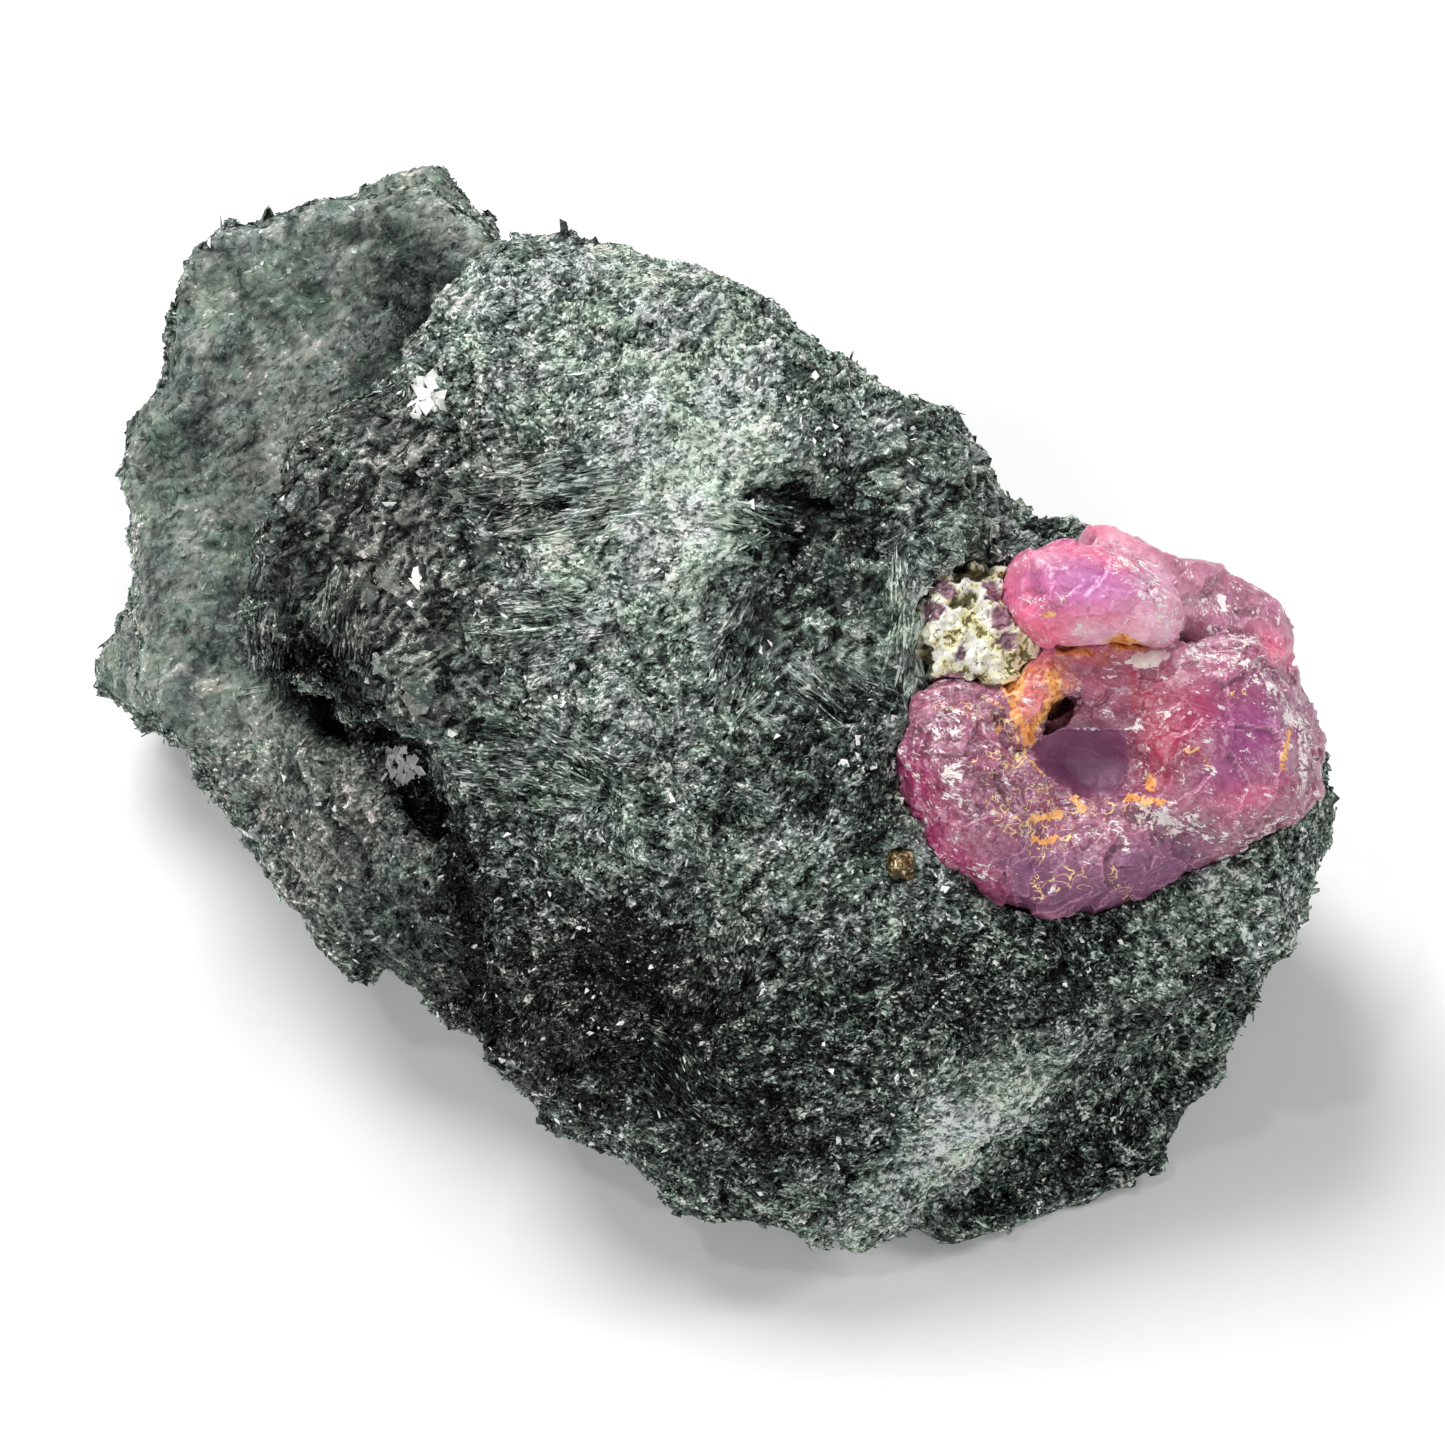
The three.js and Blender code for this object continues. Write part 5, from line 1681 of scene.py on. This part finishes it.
class SPECIMEN_OT_mica(bpy.types.Operator):
    """Crust the mica patch and set the small brown grain."""

    bl_idname = "specimen.mica"
    bl_label = "Mica and brown grain"

    def execute(self, context):
        settings = settings_of(context)[2]
        beside = [bpy.data.objects["ruby_loaf"], bpy.data.objects["ruby_large"]]
        made, places, normals = crystal_mesh("mica_patch", "mica_crust", settings.grid, 8, beside)
        shaken = places + 0.45 * rough_noise(places, 0.9, 94)[:, None]
        shaken = shaken + 0.5 * breaks(places, 0.7, 98)[1] - 0.25
        layers = {layer: veil(seen(shaken), marks) for layer, marks in MICA_MARKS.items()}
        for layer in ("purple", "olive"):
            layers[layer] = ramp(layers[layer], 0.42, 0.56)
        rim = np.exp(-(((veil(seen(shaken), MICA_MARKS["purple"]) - 0.36) / 0.1) ** 2))
        flaky = 1 - 0.75 * layers["purple"]
        lift = 0.12 * rim + 0.18 * layers["snow"] - 0.4 * layers["olive"] - 0.05 * layers["purple"]
        flakes = 0.8 * flat_breaks(places, 0.9, 92, 0.34, 0.14)
        lift += flaky * (flakes + 0.8 * flat_breaks(places, 0.4, 96, 0.36, 0.2))
        lift += 0.03 * rough_noise(places, 0.5, 93)
        places = places + normals * lift[:, None]
        write_points(made.data, to_row(places))
        edges = read_edges(made.data)
        layers["crest"] = crests(places, read_normals(made.data), edges, settings.grid / MM)
        for layer, values in layers.items():
            add_numbers(made.data, layer, values)
        made.data.materials.append(mica_finish(settings))
        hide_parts("mica_patch")
        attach(made, "root")
        self.grain(settings)
        return {"FINISHED"}

    def grain(self, settings):
        made = gridded("brown_grain", "brown_glass", GRAIN_GRID * MM)
        places = to_face(relaxed(read_points(made.data), read_edges(made.data), 4))
        write_points(made.data, to_row(places))
        normals = read_normals(made.data)
        middle = places.mean(axis=0)
        places = cut_flat(middle + GRAIN_SHARE * (places - middle), RUBY_CUTS["brown_grain"])
        lift = 0.5 * flat_breaks(places, 0.8, 95, 0.3, 0.1) + 0.02 * rough_noise(places, 0.4, 97)
        write_points(made.data, to_row(places + normals * lift[:, None]))
        made.data.materials.append(self.grain_finish(settings))
        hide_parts("brown_grain")
        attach(made, "root")

    def grain_finish(self, settings):
        """Golden brown glass with dark and lighter clouds in it, and its palest patches painted on as
        highlights.
        """
        made = Shading("brown_mineral")
        stops = [
            (0.38, (0.015, 0.01, 0.004)),
            (0.48, settings.brown),
            (0.57, settings.honey),
            # Painted highlight: where the noise is highest, the palest stop paints pale glints onto the
            # glass.
            (0.66, (0.7, 0.6, 0.38)),
        ]
        return made.finish(
            {
                "Base Color": made.ramp(made.wave(0.45, 3, 0.6, 1.2), stops),
                "Roughness": 0.1,
                "Normal": made.bump(made.wave(0.35, 2), 0.08),
                "IOR": BROWN_IOR,
                "Subsurface Weight": 0.3,
                "Subsurface Radius": (1, 0.6, 0.2),
                "Subsurface Scale": 0.5 * MM,
            }
        )


# Each lamp: its name, where it hangs from the middle of the show face in metres, its size, and its
# power beside the key power.
LAMPS = [
    ("top_lamp", (-0.3, 0.42, 0.75), 0.5, 1.0),
    ("right_lamp", (0.75, 0.2, 0.45), 0.26, 0.3),
    ("left_lamp", (-0.8, -0.1, 0.4), 0.26, 0.28),
    ("front_lamp", (0.15, -0.9, 0.6), 0.34, 0.42),
    ("spark_lamp", (-0.35, -0.05, 0.9), 0.06, 0.1),
]


class SPECIMEN_OT_stage(bpy.types.Operator):
    """Set the pale floor, the soft light and the camera that looks down on the show face."""

    bl_idname = "specimen.stage"
    bl_label = "Stage"

    def execute(self, context):
        settings = settings_of(context)[3]
        scene = context.scene
        scene.view_settings.view_transform = "Standard"
        self.floor(settings)
        self.world(scene, settings)
        target = Vector(ORIGIN)
        for name, way, size, power in LAMPS:
            self.lamp(name, target, way, size, power * settings.key)
        self.camera(scene, target)
        return {"FINISHED"}

    def floor(self, settings):
        mesh = bpy.data.meshes.new("floor")
        corners = [(x * FLOOR_HALF, y * FLOOR_HALF, 0) for x, y in ((-1, -1), (1, -1), (1, 1), (-1, 1))]
        mesh.from_pydata(corners, [], [(0, 1, 2, 3)])
        made = object_of(mesh, "floor")
        shading = Shading("floor_paper")
        plain = tuple(settings.floor)
        shade = shading.mix(shading.wave(2.0, 3), plain, tuple(0.98 * c for c in plain))
        mesh.materials.append(shading.finish({"Base Color": shade, "Roughness": 0.9}))

    def world(self, scene, settings):
        world = bpy.data.worlds.new("studio")
        world.use_nodes = True
        background = world.node_tree.nodes["Background"]
        background.inputs["Color"].default_value = (1, 1, 1, 1)
        background.inputs["Strength"].default_value = settings.sky
        scene.world = world

    def lamp(self, name, target, way, size, power):
        data = bpy.data.lights.new(name, "AREA")
        data.shape = "DISK"
        data.size = size
        data.energy = power
        made = bpy.data.objects.new(name, data)
        bpy.context.scene.collection.objects.link(made)
        made.location = target + Vector(way)
        made.rotation_euler = (-Vector(way)).to_track_quat("-Z", "Y").to_euler()

    def camera(self, scene, target):
        data = bpy.data.cameras.new("view")
        data.sensor_width = 36
        data.lens = LENS
        data.clip_start = 0.01
        data.clip_end = 20
        made = bpy.data.objects.new("view", data)
        scene.collection.objects.link(made)
        back = Vector((0, -math.cos(CAMERA_RISE), math.sin(CAMERA_RISE)))
        made.location = target + back * SIGHT * MM
        made.rotation_euler = (-back).to_track_quat("-Z", "Y").to_euler()
        scene.camera = made


class SPECIMEN_PT_panel(bpy.types.Panel):
    """Lists the specimen's steps and settings."""

    bl_idname = "SPECIMEN_PT_panel"
    bl_label = "Ruby on Matrix"
    bl_space_type = "VIEW_3D"
    bl_region_type = "UI"
    bl_category = "Specimen"

    def draw(self, context):
        for operator in OPERATORS:
            self.layout.operator(operator.bl_idname)
        for settings in settings_of(context):
            column = self.layout.column()
            for name in settings.__annotations__:
                column.prop(settings, name)


OPERATORS = (
    SPECIMEN_OT_ruby,
    SPECIMEN_OT_mica,
    SPECIMEN_OT_rock,
    SPECIMEN_OT_crystals,
    SPECIMEN_OT_stage,
)
GROUPS = {
    "specimen_rock": SpecimenRock,
    "specimen_ruby": SpecimenRuby,
    "specimen_mica": SpecimenMica,
    "specimen_stage": SpecimenStage,
}


def register():
    for made in (*GROUPS.values(), *OPERATORS, SPECIMEN_PT_panel):
        bpy.utils.register_class(made)
    for name, group in GROUPS.items():
        setattr(bpy.types.Scene, name, PointerProperty(type=group))


def unregister():
    for name in GROUPS:
        delattr(bpy.types.Scene, name)
    for made in (SPECIMEN_PT_panel, *reversed(OPERATORS), *reversed(GROUPS.values())):
        bpy.utils.unregister_class(made)


def main():
    register()
    bpy.ops.specimen.ruby()
    bpy.ops.specimen.mica()
    bpy.ops.specimen.rock()
    bpy.ops.specimen.crystals()
    bpy.ops.specimen.stage()


if __name__ == "__main__":
    main()
